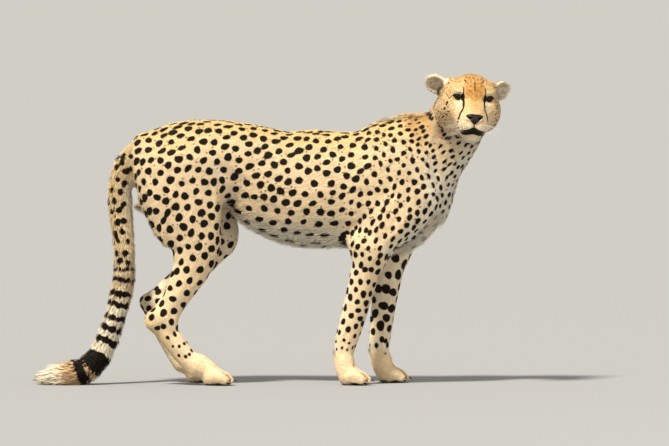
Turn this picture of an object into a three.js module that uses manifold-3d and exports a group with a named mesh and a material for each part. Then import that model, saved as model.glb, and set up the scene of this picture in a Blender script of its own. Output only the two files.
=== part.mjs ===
// A life-size standing cheetah with its head turned to its right.
//
// Millimetres. +X points to the chest, +Y to the animal's left and +Z up. The four paws and the
// laid tail tip stand on the floor, z = 0. Sizes are those of the outline of the coat.
//
// The flesh is one smooth distance field, blended from tapered sweeps and ellipsoids. It is turned
// into triangles, finer on the head and the paws, and thin cuts part it into the named parts.

import * as THREE from 'three';
import Module from 'manifold-3d';
import { triTable } from 'three/addons/objects/MarchingCubes.js';
import { SimplifyModifier } from 'three/addons/modifiers/SimplifyModifier.js';
import { mergeVertices } from 'three/addons/utils/BufferGeometryUtils.js';

const wasm = await Module();
wasm.setup();

// ---------------------------------------------------------------- driving dimensions

const CUT_GAP = 0.6; // width of the thin cuts between the parts of the body
const EYE_GAP = 0.4; // clearance round an eyeball
const NOSE_GAP = 1.1; // clearance round the nose leather
const CLAW_GAP = 0.7; // from the toe's coat to the root of its claw

const EYE_RADIUS = 18;
const EYE_SPREAD = 41.5; // middle plane of the head to the centre of an eyeball
const EYE_UP = 4.5; // eyeball centre, above the head's origin
const EYE_DEPTH = -6; // eyeball centre, behind the plane of the eye openings

const HEAD_AT = [511, -135, 801]; // on the nose bridge, between the lower lids
const HEAD_YAW = -82; // degrees from straight ahead, turned to the animal's right
const HEAD_PITCH = 3; // degrees, nose down
const HEAD_ROLL = 4.5; // degrees, left ear lower

const PAW_LENGTH = 100; // heel of the paw to the tips of the middle toes
const TOE_OFFSETS = [-26, -9, 9, 26]; // sideways from the paw's middle line
const TOE_SHORTER = [14, 0, 1, 15]; // how far each toe stops short of the longest
const TOE_SPLAY = 1.02; // the toes' tips stand a little further apart than their knuckles
const CLAW_LENGTH = 11;
const CLAW_RADIUS = 3.2;

const COLOURS = { gold: 0xe3bd83, cream: 0xefdcb4, nose: 0x2a1c15, eye: 0x6b3c14, claw: 0x4a3c33 };

// ---------------------------------------------------------------- distance fields

const SWEEP_STEPS = 7; // samples between two stations of a sweep
const CAP_SHARE = 0.9; // length of a sweep's rounded end, as a share of its end section

// Smooth union of two distances: they melt together where they differ by less than reach.
function melt(a, b, reach) {
  const h = Math.max(reach - Math.abs(a - b), 0) / reach;
  return Math.min(a, b) - h * h * reach * 0.25;
}

// An ellipsoid with its own half-lengths, leaning forwards by a turn about +Y in degrees.
function ellipsoid(centre, radii, lean = 0, blend = 20) {
  const [cx, cy, cz] = centre;
  const [rx, ry, rz] = radii;
  const cos = Math.cos(THREE.MathUtils.degToRad(lean));
  const sin = Math.sin(THREE.MathUtils.degToRad(lean));
  const distance = (x, y, z) => {
    const dx = x - cx;
    const dz = z - cz;
    const u = dx * cos - dz * sin;
    const v = y - cy;
    const w = dx * sin + dz * cos;
    const unit = Math.hypot(u / rx, v / ry, w / rz);
    const slope = Math.hypot(u / (rx * rx), v / (ry * ry), w / (rz * rz));
    return slope < 1e-9 ? -Math.min(rx, ry, rz) : (unit * (unit - 1)) / slope;
  };
  return { distance, blend };
}

// A tapered tube through stations [x, y, z, side, front, back]. side is the half-width along
// `across`; front and back are the half-depths on either side of the centre line. The ends are
// rounded by a share of their own section.
function sweep(rows, { across = [0, 1, 0], blend = 30, caps = [CAP_SHARE, CAP_SHARE] } = {}) {
  const line = new THREE.CatmullRomCurve3(rows.map((r) => new THREE.Vector3(r[0], r[1], r[2])));
  const sizes = new THREE.CatmullRomCurve3(rows.map((r) => new THREE.Vector3(r[3], r[4], r[5])));
  const count = (rows.length - 1) * SWEEP_STEPS + 1;
  const wide = new THREE.Vector3(...across);
  const samples = [];
  for (let i = 0; i < count; i++) {
    const t = i / (count - 1);
    const along = line.getTangent(t);
    const side = wide.clone().addScaledVector(along, -wide.dot(along)).normalize();
    const front = new THREE.Vector3().crossVectors(along, side);
    samples.push({ at: line.getPoint(t), size: sizes.getPoint(t), along, side, front });
  }
  const reach = Math.max(...rows.flatMap((r) => [r[3], r[4], r[5]])) * 1.1 + 60;
  const hull = new THREE.Box3().setFromPoints(samples.map((s) => s.at)).expandByScalar(reach);
  const mix = THREE.MathUtils.lerp;
  const distance = (x, y, z) => {
    if (x < hull.min.x || y < hull.min.y || z < hull.min.z) return reach;
    if (x > hull.max.x || y > hull.max.y || z > hull.max.z) return reach;
    let best = Infinity;
    let bestSpan = 0;
    let bestShare = 0;
    for (let i = 0; i < count - 1; i++) {
      const a = samples[i].at;
      const b = samples[i + 1].at;
      const ex = b.x - a.x;
      const ey = b.y - a.y;
      const ez = b.z - a.z;
      const dot = (x - a.x) * ex + (y - a.y) * ey + (z - a.z) * ez;
      const share = Math.min(1, Math.max(0, dot / (ex * ex + ey * ey + ez * ez)));
      const gx = x - a.x - ex * share;
      const gy = y - a.y - ey * share;
      const gz = z - a.z - ez * share;
      const gap = gx * gx + gy * gy + gz * gz;
      if (gap < best) {
        best = gap;
        bestSpan = i;
        bestShare = share;
      }
    }
    const a = samples[bestSpan];
    const b = samples[bestSpan + 1];
    const share = bestShare;
    const gx = x - mix(a.at.x, b.at.x, share);
    const gy = y - mix(a.at.y, b.at.y, share);
    const gz = z - mix(a.at.z, b.at.z, share);
    const dot = (name) =>
      gx * mix(a[name].x, b[name].x, share) +
      gy * mix(a[name].y, b[name].y, share) +
      gz * mix(a[name].z, b[name].z, share);
    const half = mix(a.size.x, b.size.x, share);
    const front = mix(a.size.y, b.size.y, share);
    const back = mix(a.size.z, b.size.z, share);
    const s = dot('side');
    const f = dot('front');
    const atEnd = (bestSpan === 0 && share === 0) || (bestSpan === count - 2 && share === 1);
    const l = atEnd ? dot('along') : 0;
    const depth = f > 0 ? front : back;
    const cap = Math.min(half, front, back) * caps[bestSpan === 0 ? 0 : 1];
    const length = Math.hypot(s, f, l);
    const unit = Math.hypot(s / half, f / depth, l / Math.max(cap, 1));
    if (unit < 0.05) return -Math.min(half, depth);
    return length * (1 - 1 / unit);
  };
  return { distance, blend };
}

// All parts of one group, melted together in their order.
function blended(parts) {
  return (x, y, z) => {
    let d = parts[0].distance(x, y, z);
    for (let i = 1; i < parts.length; i++) {
      d = melt(d, parts[i].distance(x, y, z), parts[i].blend);
    }
    return d;
  };
}

// The same field, moved and turned by a matrix.
function placed(distance, matrix) {
  const back = matrix.clone().invert().elements;
  return (x, y, z) =>
    distance(
      back[0] * x + back[4] * y + back[8] * z + back[12],
      back[1] * x + back[5] * y + back[9] * z + back[13],
      back[2] * x + back[6] * y + back[10] * z + back[14],
    );
}

// ---------------------------------------------------------------- trunk, neck and tail

// Rows of a sweep: x, y, z, half-width, half-height above, half-height below.
const TRUNK = [
  [-388, 0, 622, 66, 86, 92],
  [-330, 0, 628, 84, 102, 112],
  [-260, 0, 632, 92, 109, 122],
  [-180, 0, 630, 84, 108, 124],
  [-110, 0, 612, 80, 116, 138],
  [-40, 0, 578, 90, 142, 160],
  [40, 0, 552, 98, 165, 166],
  [120, 0, 548, 100, 160, 163],
  [200, 0, 552, 98, 155, 166],
  [270, 0, 558, 93, 166, 184],
  [330, 0, 560, 86, 182, 186],
  [376, 0, 560, 74, 146, 160],
  [416, 0, 560, 54, 100, 116],
];

const NECK = [
  [300, 0, 612, 80, 126, 120],
  [362, 0, 648, 72, 108, 124],
  [424, -3, 690, 62, 84, 106],
  [466, -12, 732, 57, 70, 86],
  [488, -28, 766, 54, 60, 66],
];

const TAIL = [
  [-404, 0, 652, 34, 40, 40],
  [-452, 0, 618, 30, 31, 33],
  [-474, 0, 560, 27, 30, 31],
  [-476, -2, 500, 27, 31, 31],
  [-468, -4, 440, 27, 26, 31],
  [-459, -6, 370, 27, 23, 31],
  [-463, -8, 300, 26, 27, 30],
  [-475, -10, 240, 26, 29, 29],
  [-490, -14, 182, 26, 27, 27],
  [-509, -20, 128, 28, 29, 29],
  [-532, -28, 80, 30, 31, 31],
  [-568, -38, 44, 33, 32, 32],
  [-612, -46, 30, 34, 32, 32],
  [-654, -50, 25, 29, 26, 26],
  [-684, -52, 20, 15, 15, 15],
];

// ---------------------------------------------------------------- legs

// Each leg is given from the shoulder or hip down to the wrist or hock. Rows are
// x, sideways distance from the middle plane, z, half-width, half-depth in front and behind.
// `front` is where the thigh ends and the flank begins.
const FORELEGS = {
  right: {
    side: -1,
    arm: [
      [372, 62, 520, 34, 50, 54],
      [318, 74, 470, 36, 52, 58],
      [262, 74, 420, 34, 50, 54],
      [226, 70, 372, 32, 46, 48],
    ],
    forearm: [
      [226, 70, 378, 32, 48, 44],
      [206, 68, 312, 30, 43, 37],
      [190, 66, 244, 27, 39, 35],
      [174, 64, 182, 25, 36, 33],
      [157, 63, 126, 25, 33, 31],
      [150, 62, 84, 25, 27, 27],
      [156, 62, 52, 26, 26, 26],
    ],
    paw: [130, 62, -5],
  },
  left: {
    side: 1,
    arm: [
      [380, 62, 520, 34, 50, 54],
      [346, 74, 470, 36, 50, 56],
      [312, 74, 420, 34, 46, 54],
      [290, 70, 372, 32, 42, 48],
    ],
    forearm: [
      [292, 70, 372, 32, 44, 44],
      [278, 68, 306, 30, 38, 37],
      [266, 66, 240, 27, 35, 35],
      [258, 64, 178, 25, 32, 32],
      [251, 63, 124, 25, 30, 31],
      [250, 62, 84, 25, 27, 27],
      [258, 62, 52, 26, 26, 26],
    ],
    paw: [236, 62, 6],
  },
};

const HINDLEGS = {
  right: {
    side: -1,
    thigh: [
      [-318, 52, 612, 50, 92, 92],
      [-302, 62, 530, 50, 106, 112],
      [-284, 68, 458, 45, 98, 100],
      [-262, 72, 392, 38, 70, 76],
      [-272, 74, 332, 32, 53, 56],
      [-300, 75, 278, 28, 43, 42],
      [-328, 75, 232, 25, 37, 33],
      [-352, 75, 190, 25, 37, 37],
    ],
    shank: [
      [-362, 75, 184, 25, 34, 34],
      [-334, 75, 136, 24, 28, 31],
      [-298, 75, 90, 24, 27, 30],
      [-262, 75, 50, 26, 26, 28],
    ],
    heel: [-384, 75, 178],
    paw: [-254, 75, -4],
    front: -172,
  },
  left: {
    side: 1,
    thigh: [
      [-314, 52, 612, 50, 92, 92],
      [-284, 62, 530, 50, 108, 112],
      [-250, 68, 462, 45, 100, 96],
      [-220, 72, 408, 38, 76, 72],
      [-244, 74, 354, 32, 48, 52],
      [-284, 75, 306, 28, 43, 40],
      [-330, 75, 266, 25, 37, 33],
      [-366, 75, 228, 25, 37, 36],
    ],
    shank: [
      [-376, 75, 222, 25, 34, 34],
      [-358, 75, 162, 24, 28, 31],
      [-328, 75, 102, 24, 27, 30],
      [-302, 75, 54, 26, 26, 28],
    ],
    heel: [-400, 75, 222],
    paw: [-300, 75, 4],
    front: -140,
  },
};

// Sideways distances turned into +Y or -Y.
const mirrored = (rows, side) => rows.map(([x, y, ...rest]) => [x, y * side, ...rest]);

// A paw stands on the floor, with its heel at the origin and its toes along +X.
function pawParts(hind) {
  const parts = [
    sweep(
      [
        [hind ? 4 : 24, 0, 62, 25, 25, 25],
        [26, 0, 42, 27, 27, 24],
        [42, 0, 28, 30, 24, 24],
      ],
      { blend: 16 },
    ),
    ellipsoid([42, 0, 19], [34, 32, 24], 0, 14),
  ];
  TOE_OFFSETS.forEach((y, i) => {
    const tip = PAW_LENGTH - TOE_SHORTER[i];
    const toe = [
      [34, y * 0.62, 33, 12, 12, 14],
      [tip - 38, y * 0.9, 31, 12, 12, 16],
      [tip - 24, y, 24, 12.5, 13, 17],
      [tip - 13, y * TOE_SPLAY, 14, 11.5, 12, 14],
    ];
    parts.push(sweep(toe, { blend: i === 0 ? 12 : 5 }));
  });
  return parts;
}

function pawMatrix([x, y, heading], side) {
  return new THREE.Matrix4()
    .makeRotationZ(THREE.MathUtils.degToRad(heading))
    .setPosition(x, y * side, 0);
}

const pawFields = {
  fore: blended(pawParts(false)),
  hind: blended(pawParts(true)),
};

// Swellings of the legs. `out` is measured from the middle plane and `up` from the floor; the
// elbow stands behind the top of the forearm, and the last two ahead of the heel of the paw.
const SHOULDER_BLADE = { x: 327, out: 60, up: 588, half: [58, 38, 108], lean: -22 };
const ELBOW_POINT = { behind: 26, out: 66, up: 392, half: [34, 27, 34] };
const WRIST_PAD = { ahead: 12, up: 96, half: [11, 11, 14] };
const DEWCLAW_TOE = { ahead: 26, inward: 23, up: 88, half: [9, 6, 11] };
const HEEL_BONE = { half: [20, 17, 26], lean: -30 };

function foreleg({ side, arm, forearm, paw }) {
  const matrix = pawMatrix(paw, side);
  const [heel, pawOut] = paw;
  const blade = [SHOULDER_BLADE.x, side * SHOULDER_BLADE.out, SHOULDER_BLADE.up];
  const elbow = [forearm[0][0] - ELBOW_POINT.behind, side * ELBOW_POINT.out, ELBOW_POINT.up];
  const pad = [heel + WRIST_PAD.ahead, side * pawOut, WRIST_PAD.up];
  const toeOut = side * (pawOut - DEWCLAW_TOE.inward);
  const toe = [heel + DEWCLAW_TOE.ahead, toeOut, DEWCLAW_TOE.up];
  return [
    sweep(mirrored(arm, side), { blend: 46 }),
    ellipsoid(blade, SHOULDER_BLADE.half, SHOULDER_BLADE.lean, 50),
    ellipsoid(elbow, ELBOW_POINT.half, 0, 30),
    sweep(mirrored(forearm, side), { blend: 34 }),
    ellipsoid(pad, WRIST_PAD.half, 0, 16),
    ellipsoid(toe, DEWCLAW_TOE.half, 0, 10),
    { distance: placed(pawFields.fore, matrix), blend: 16 },
  ];
}

function hindleg({ side, thigh, shank, heel, paw }) {
  const matrix = pawMatrix(paw, side);
  return [
    sweep(mirrored(thigh, side), { blend: 50 }),
    sweep(mirrored(shank, side), { blend: 26 }),
    ellipsoid([heel[0], side * heel[1], heel[2]], HEEL_BONE.half, HEEL_BONE.lean, 22),
    { distance: placed(pawFields.hind, matrix), blend: 16 },
  ];
}

// ---------------------------------------------------------------- head

// Head frame: +X out of the nose, +Y to the left ear, +Z up, origin between the lower lids.
const headMatrix = new THREE.Matrix4()
  .makeRotationFromEuler(
    new THREE.Euler(
      THREE.MathUtils.degToRad(-HEAD_ROLL),
      THREE.MathUtils.degToRad(HEAD_PITCH),
      THREE.MathUtils.degToRad(HEAD_YAW),
      'ZYX',
    ),
  )
  .setPosition(...HEAD_AT);

// Rows: x, y, z, half-width, half-height above, half-height below.
const SKULL = [
  [-112, 0, -14, 58, 56, 62],
  [-92, 0, -20, 76, 78, 80],
  [-68, 0, -24, 82, 87, 82],
  [-44, 0, -26, 82, 85, 80],
  [-22, 0, -32, 74, 76, 77],
  [-2, 0, -44, 60, 56, 73],
  [20, 0, -58, 45, 44, 61],
  [40, 0, -68, 36, 34, 50],
];

const MUZZLE = [
  [-4, 0, -46, 40, 36, 34],
  [24, 0, -58, 38, 32, 32],
  [44, 0, -66, 33, 28, 26],
];

const NOSE_BRIDGE = [
  [-16, 0, 16, 27, 16, 20],
  [14, 0, -3, 25, 15, 20],
  [38, 0, -23, 22, 13, 18],
  [55, 0, -39, 19, 11, 14],
];

function pairOf(make) {
  return [make(1), make(-1)];
}

const skullParts = [
  sweep(SKULL, { blend: 30, caps: [0.9, 0.5] }),
  sweep(MUZZLE, { blend: 22, caps: [0.9, 0.6] }),
  sweep(NOSE_BRIDGE, { blend: 16, caps: [0.9, 0.5] }),
  ...pairOf((s) => ellipsoid([-14, s * 38, 22], [24, 25, 13], 12, 14)), // brow
  ...pairOf((s) => ellipsoid([-14, s * 50, -26], [28, 24, 22], 20, 20)), // cheekbone
  ...pairOf((s) => ellipsoid([-62, s * 49, -42], [44, 35, 43], 0, 30)), // cheek
  ...pairOf((s) => ellipsoid([41, s * 19, -71], [25, 20, 17], 16, 10)), // whisker pad
  ellipsoid([28, 0, -102], [27, 24, 18], 8, 14), // chin
  ellipsoid([-30, 0, 26], [48, 52, 38], 20, 24), // forehead
  ...pairOf((s) => ellipsoid([-80, s * 50, 32], [28, 25, 20], 8, 14)), // ear base
];

// Ears: cupped dishes set low and wide, turned outwards.
const EAR = {
  at: [-82, 70, 18],
  leanOut: { left: 82, right: 63 }, // degrees from upright
  leanBack: { left: 38, right: 0 }, // degrees the tip swings backwards
  pulledDown: { left: -2, right: 0 },
  turnOut: { left: 2, right: 22 }, // degrees the opening turns from straight ahead
  half: [27.5, 20, 34], // half-width, half-depth and half-height of the outer shell
  hollow: [22.5, 20, 29],
  hollowAhead: 13, // how far the hollow stands in front of the shell
  sunk: 8, // how far the shell goes down into the head
};

function earMatrix(side) {
  const name = side > 0 ? 'left' : 'right';
  const angle = (degrees) => THREE.MathUtils.degToRad(side * degrees);
  const back = new THREE.Matrix4().makeRotationZ(angle(EAR.leanBack[name]));
  const lean = new THREE.Matrix4().makeRotationX(angle(-EAR.leanOut[name]));
  const turn = new THREE.Matrix4().makeRotationZ(angle(EAR.turnOut[name]));
  const [x, y, z] = EAR.at;
  return new THREE.Matrix4()
    .makeTranslation(x, side * y, z - EAR.pulledDown[name])
    .multiply(back)
    .multiply(lean)
    .multiply(turn);
}

// Ear frame: +Z to the tip, +X out of the opening, base at the origin.
function earShell(x, y, z) {
  const [w, d, h] = EAR.half;
  const [hw, hd, hh] = EAR.hollow;
  const up = z - EAR.half[2] + EAR.sunk;
  const shell = ellipsoid([0, 0, 0], [d, w, h]).distance(x, y, up);
  const hollow = ellipsoid([0, 0, 0], [hd, hw, hh]).distance(x - EAR.hollowAhead, y, up - 1);
  return Math.max(shell, -hollow);
}

const eyeCentre = (side) => [EYE_DEPTH, side * EYE_SPREAD, EYE_UP];
const EYE_OPENING = { ahead: 15, out: 2, half: [16, 15, 9] };

// Nose leather: a blunt wedge, wide at the top, with the philtrum below it.
const noseParts = [
  sweep(
    [
      [59, 0, -42, 21, 7, 10],
      [62, 0, -53, 15, 9, 10],
      [61, 0, -65, 6, 6, 8],
    ],
    { blend: 6 },
  ),
  ...pairOf((s) => ellipsoid([59, s * 14, -48], [11, 11.5, 9], 0, 8)),
];
const noseField = blended(noseParts);

// The head before the nose leather is let into it: skull and ears, with openings for the eyes.
const EAR_BLEND = 7;
const skullField = blended(skullParts);
const placedEars = { 1: placed(earShell, earMatrix(1)), [-1]: placed(earShell, earMatrix(-1)) };
function headLocal(x, y, z) {
  let d = skullField(x, y, z);
  for (const side of [1, -1]) {
    d = melt(d, placedEars[side](x, y, z), EAR_BLEND);
    const [ex, ey, ez] = [EYE_DEPTH + EYE_OPENING.ahead, side * (EYE_SPREAD + EYE_OPENING.out), EYE_UP];
    const [a, b, c] = EYE_OPENING.half;
    const opening = ellipsoid([0, 0, 0], [a, b, c]).distance(x - ex, y - ey, z - ez);
    d = Math.max(d, -opening);
  }
  return d;
}

// ---------------------------------------------------------------- the whole flesh

const NAPE_CREST = { at: [454, -12, 781], half: [46, 46, 47] }; // behind the ears
const HIP_SEAT = { at: [-366, 0, 560], half: [50, 74, 76] };
const SCROTUM = { at: [-404, 0, 506], half: [24, 26, 23] };
const NECK_BLEND = 34; // reach of the soft join of head and neck

const bodyField = blended([
  sweep(TRUNK, { blend: 40, caps: [0.95, 0.8] }),
  sweep(NECK, { blend: 50 }),
  ellipsoid(NAPE_CREST.at, NAPE_CREST.half, 0, 34),
  ellipsoid(HIP_SEAT.at, HIP_SEAT.half, 0, 40),
  ellipsoid(SCROTUM.at, SCROTUM.half, 0, 22),
  ...foreleg(FORELEGS.right),
  ...foreleg(FORELEGS.left),
  ...hindleg(HINDLEGS.right),
  ...hindleg(HINDLEGS.left),
  sweep(TAIL, { blend: 26 }),
]);
const headField = placed(headLocal, headMatrix);
const flesh = (x, y, z) => melt(bodyField(x, y, z), headField(x, y, z), NECK_BLEND);

// ---------------------------------------------------------------- triangles from a field

// Corners and edges of a grid cell, in the order that the table of triangles expects.
const CORNERS = [
  [0, 0, 0], [1, 0, 0], [1, 1, 0], [0, 1, 0],
  [0, 0, 1], [1, 0, 1], [1, 1, 1], [0, 1, 1],
];
const EDGES = [
  [0, 1], [1, 2], [2, 3], [3, 0], [4, 5], [5, 6], [6, 7], [7, 4],
  [0, 4], [1, 5], [2, 6], [3, 7],
];
const ROW = 16; // entries of the table for each of its 256 cases

// The closed surface of field = 0 inside a box, on a grid of the given cell size.
function polygonise(field, [low, high], cell) {
  const counts = low.map((v, i) => Math.ceil((high[i] - v) / cell) + 1);
  const [nx, ny, nz] = counts;
  const index = (i, j, k) => (k * ny + j) * nx + i;
  const values = new Float32Array(nx * ny * nz);
  for (let k = 0; k < nz; k++) {
    for (let j = 0; j < ny; j++) {
      for (let i = 0; i < nx; i++) {
        const rim = i === 0 || j === 0 || k === 0 || i === nx - 1 || j === ny - 1 || k === nz - 1;
        const here = field(low[0] + i * cell, low[1] + j * cell, low[2] + k * cell);
        values[index(i, j, k)] = rim ? Math.max(here, cell * 0.1) : here || 1e-6;
      }
    }
  }
  const positions = [];
  const triangles = [];
  const known = new Map();
  const vertexOn = (a, b) => {
    const key = Math.min(a.index, b.index) * values.length + Math.max(a.index, b.index);
    if (!known.has(key)) {
      const share = values[a.index] / (values[a.index] - values[b.index]);
      for (let axis = 0; axis < 3; axis++) {
        positions.push(low[axis] + cell * THREE.MathUtils.lerp(a.at[axis], b.at[axis], share));
      }
      known.set(key, positions.length / 3 - 1);
    }
    return known.get(key);
  };
  for (let k = 0; k < nz - 1; k++) {
    for (let j = 0; j < ny - 1; j++) {
      for (let i = 0; i < nx - 1; i++) {
        const corners = CORNERS.map(([a, b, c]) => ({
          at: [i + a, j + b, k + c],
          index: index(i + a, j + b, k + c),
        }));
        let kase = 0;
        corners.forEach((c, bit) => {
          if (values[c.index] < 0) kase |= 1 << bit;
        });
        for (let n = kase * ROW; triTable[n] >= 0; n += 3) {
          for (let m = 0; m < 3; m++) {
            const [a, b] = EDGES[triTable[n + m]];
            triangles.push(vertexOn(corners[a], corners[b]));
          }
        }
      }
    }
  }
  const geometry = new THREE.BufferGeometry();
  geometry.setAttribute('position', new THREE.Float32BufferAttribute(positions, 3));
  geometry.setIndex(triangles);
  return geometry;
}

const simplifier = new SimplifyModifier();

// The field's surface in a box, thinned to about the wanted number of triangles.
async function surface(field, box, cell, wanted) {
  const fine = mergeVertices(polygonise(field, box, cell), 1e-4);
  const count = fine.index.count / 3;
  if (count <= wanted) return fine;
  const vertices = fine.attributes.position.count;
  return simplifier.modify(fine, Math.round(vertices * (1 - wanted / count)));
}

// ---------------------------------------------------------------- solids and cuts

function toSolid(geometry) {
  const plain = geometry.clone();
  plain.deleteAttribute('normal');
  plain.deleteAttribute('uv');
  const merged = mergeVertices(plain, 1e-3);
  const mesh = new wasm.Mesh({
    numProp: 3,
    vertProperties: new Float32Array(merged.attributes.position.array),
    triVerts: new Uint32Array(merged.index.array),
  });
  const solid = new wasm.Manifold(mesh);
  return solid.volume() < 0 ? toSolid(turnedOut(merged)) : solid;
}

// The same surface with every triangle facing the other way.
function turnedOut(geometry) {
  const turned = geometry.clone();
  const order = turned.index.array;
  for (let i = 0; i < order.length; i += 3) {
    [order[i + 1], order[i + 2]] = [order[i + 2], order[i + 1]];
  }
  return turned;
}

function toGeometry(solid) {
  const mesh = solid.getMesh();
  const geometry = new THREE.BufferGeometry();
  geometry.setAttribute('position', new THREE.BufferAttribute(mesh.vertProperties, 3));
  geometry.setIndex(new THREE.BufferAttribute(mesh.triVerts, 1));
  geometry.computeVertexNormals();
  return geometry;
}

// A box that keeps what is on the +X side of a plane through `at`, facing `towards`. Its face
// stands off the plane by half the cut's gap.
const HALF_SPACE = 1600;
function beyond(at, towards) {
  const facing = new THREE.Vector3(...towards).normalize();
  const turn = new THREE.Quaternion().setFromUnitVectors(new THREE.Vector3(1, 0, 0), facing);
  const offset = facing.clone().multiplyScalar(HALF_SPACE / 2 + CUT_GAP / 2);
  const box = new THREE.BoxGeometry(HALF_SPACE, HALF_SPACE, HALF_SPACE);
  box.applyQuaternion(turn);
  box.translate(at[0] + offset.x, at[1] + offset.y, at[2] + offset.z);
  return toSolid(box);
}

const reversed = (v) => v.map((c) => -c);

// ---------------------------------------------------------------- the cuts between parts

// Each cut is a point and the direction from the first named part to the second.
const inHead = (point) => new THREE.Vector3(...point).applyMatrix4(headMatrix).toArray();
const headDirection = (v) =>
  new THREE.Vector3(...v).transformDirection(headMatrix).toArray();

const CUTS = {
  trunkToNeck: { at: [378, 0, 640], towards: [0.84, 0, 0.54] },
  neckToHead: { at: inHead([-96, 0, -70]), towards: headDirection([0.8, 0.1, 0.6]) },
  trunkToTail: { at: [-439, 0, 640], towards: [-1, 0, -0.03] },
  tailBaseToMiddle: { at: [-466, 0, 430], towards: [0, 0, -1] },
  tailMiddleToTip: { at: [-500, 0, 152], towards: [-0.3, 0, -1] },
  floor: { at: [0, 0, -CUT_GAP / 2], towards: [0, 0, 1] },
};

// Leg cuts lean outwards going up, so that shoulder and thigh muscle go with the leg. Each
// starts at a point beside the middle plane, [sideways, up].
function legCut(side, lean, [out, up]) {
  const angle = THREE.MathUtils.degToRad(lean);
  return { at: [0, side * out, up], towards: [0, side * Math.cos(angle), -Math.sin(angle)] };
}
const FORE_CUT = (side) => legCut(side, 20, [36, 380]);
const HIND_CUT = (side) => legCut(side, 30, [8, 440]);
const FORE_BACK = 150;
const ELBOW = { at: [0, 0, 364], towards: [0, 0, -1] };
const BETWEEN_FORELEGS = 4; // half the strip between the lower forelegs that goes to neither

const ACROSS = {
  wrist: (x) => ({ at: [x, 0, 88], towards: [0.1, 0, -1] }),
  knee: (x, z) => ({ at: [x, 0, z], towards: [-0.35, 0, -1] }),
  hock: (x, z) => ({ at: [x, 0, z], towards: [0.5, 0, -0.86] }),
};

const first = (cut) => beyond(cut.at, reversed(cut.towards));
const second = (cut) => beyond(cut.at, cut.towards);

// ---------------------------------------------------------------- the parts of the body

const material = (color, roughness = 0.9) =>
  new THREE.MeshStandardMaterial({ color, roughness, metalness: 0 });
const MATERIALS = {
  coat: material(COLOURS.gold),
  pale: material(COLOURS.cream),
  eye: material(COLOURS.eye, 0.12),
  nose: material(COLOURS.nose, 0.45),
  claw: material(COLOURS.claw, 0.4),
};

const cheetah = new THREE.Group();
const solids = {};

function addPart(name, solid, look) {
  const mesh = new THREE.Mesh(toGeometry(solid), look);
  mesh.name = name;
  solids[name] = solid;
  cheetah.add(mesh);
}

// One part of its own grain: the flesh inside a box, kept by every half-space and cut free of
// every block. The box and its grid may stand in a frame of their own.
async function fleshPart(name, { box, cell, wanted, keep, away = [], look, frame }) {
  const matrix = frame ?? new THREE.Matrix4();
  const field = frame ? placed(flesh, frame.clone().invert()) : flesh;
  const skin = await surface(field, box, cell, wanted);
  keepPart(name, toSolid(skin.applyMatrix4(matrix)), keep, away, look);
}

function keepPart(name, whole, keep, away = [], look = MATERIALS.coat) {
  let solid = whole;
  for (const side of keep) solid = solid.intersect(side);
  for (const block of away) solid = solid.subtract(block);
  addPart(name, largest(solid), look);
}

// The biggest body of a solid, without crumbs left by a cut.
function largest(solid) {
  const bodies = solid.decompose();
  bodies.sort((a, b) => b.volume() - a.volume());
  return bodies[0];
}

// The block that holds a whole leg: outside the leaning cut, and within its stretch of the body.
function legBlock(cut, fromX, toX) {
  return second(cut)
    .intersect(beyond([fromX, 0, 0], [1, 0, 0]))
    .intersect(beyond([toX, 0, 0], [-1, 0, 0]));
}

// The same block grown by the cut's gap, to be taken off the trunk.
function legSpace(cut, fromX, toX) {
  const shifted = { at: cut.at.map((v, i) => v - cut.towards[i] * CUT_GAP), towards: cut.towards };
  return second(shifted)
    .intersect(beyond([fromX - CUT_GAP, 0, 0], [1, 0, 0]))
    .intersect(beyond([toX + CUT_GAP, 0, 0], [-1, 0, 0]));
}

const LEGS_END = 560;
const legSpaces = [
  ...pairOf((side) => legSpace(FORE_CUT(side), FORE_BACK, LEGS_END)),
  ...Object.values(HINDLEGS).map(({ side, front }) => legSpace(HIND_CUT(side), -LEGS_END, front)),
];

// Trunk, neck, legs and tail as one body, without the head and the paws.
const FEET_UP_TO = 36; // the body is left out below this height
const BEHIND_FEET = -436; // except for the tail, which lies behind the feet
const PAST_NECK = 14; // how far the body runs on into the head, to be cut off there
const headSide = new THREE.Vector3(...CUTS.neckToHead.towards);
const headFrom = new THREE.Vector3(...CUTS.neckToHead.at).dot(headSide) + PAST_NECK;
function trunkAndLimbs(x, y, z) {
  const pastNeck = x * headSide.x + y * headSide.y + z * headSide.z - headFrom;
  const inFeet = x > BEHIND_FEET ? FEET_UP_TO - z : -FEET_UP_TO;
  return Math.max(flesh(x, y, z), pastNeck, inFeet);
}
const BODY_CELL = 8.5;
const BODY_TRIANGLES = 2880;
const BODY_BOX = [[-710, -126, -16], [600, 126, 860]];
const body = toSolid(await surface(trunkAndLimbs, BODY_BOX, BODY_CELL, BODY_TRIANGLES));

keepPart('trunk', body, [first(CUTS.trunkToNeck), first(CUTS.trunkToTail), first(ELBOW)], legSpaces);
keepPart('neck', body, [second(CUTS.trunkToNeck), first(CUTS.neckToHead)], legSpaces);
keepPart('tail_base', body, [second(CUTS.trunkToTail), first(CUTS.tailBaseToMiddle)]);
keepPart('tail_middle', body, [
  second(CUTS.trunkToTail),
  second(CUTS.tailBaseToMiddle),
  first(CUTS.tailMiddleToTip),
]);
keepPart('tail_tip', body, [
  second(CUTS.trunkToTail),
  second(CUTS.tailMiddleToTip),
  second(CUTS.floor),
]);

const KNEE_ROW = 3; // stations of the thigh and the shank that the leg's cuts are placed from
const ANKLE_ROW = 3;
const KNEE_CUT_BELOW = 28;
const HOCK_CUT_BEHIND = 22;
const HOCK_CUT_ABOVE = 26;
const PAW_CELL = 5;
const PAW_TRIANGLES = 320;
const pawBox = (x, y) => [[x - 60, y - 60, -14], [x + 150, y + 60, 112]];

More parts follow.
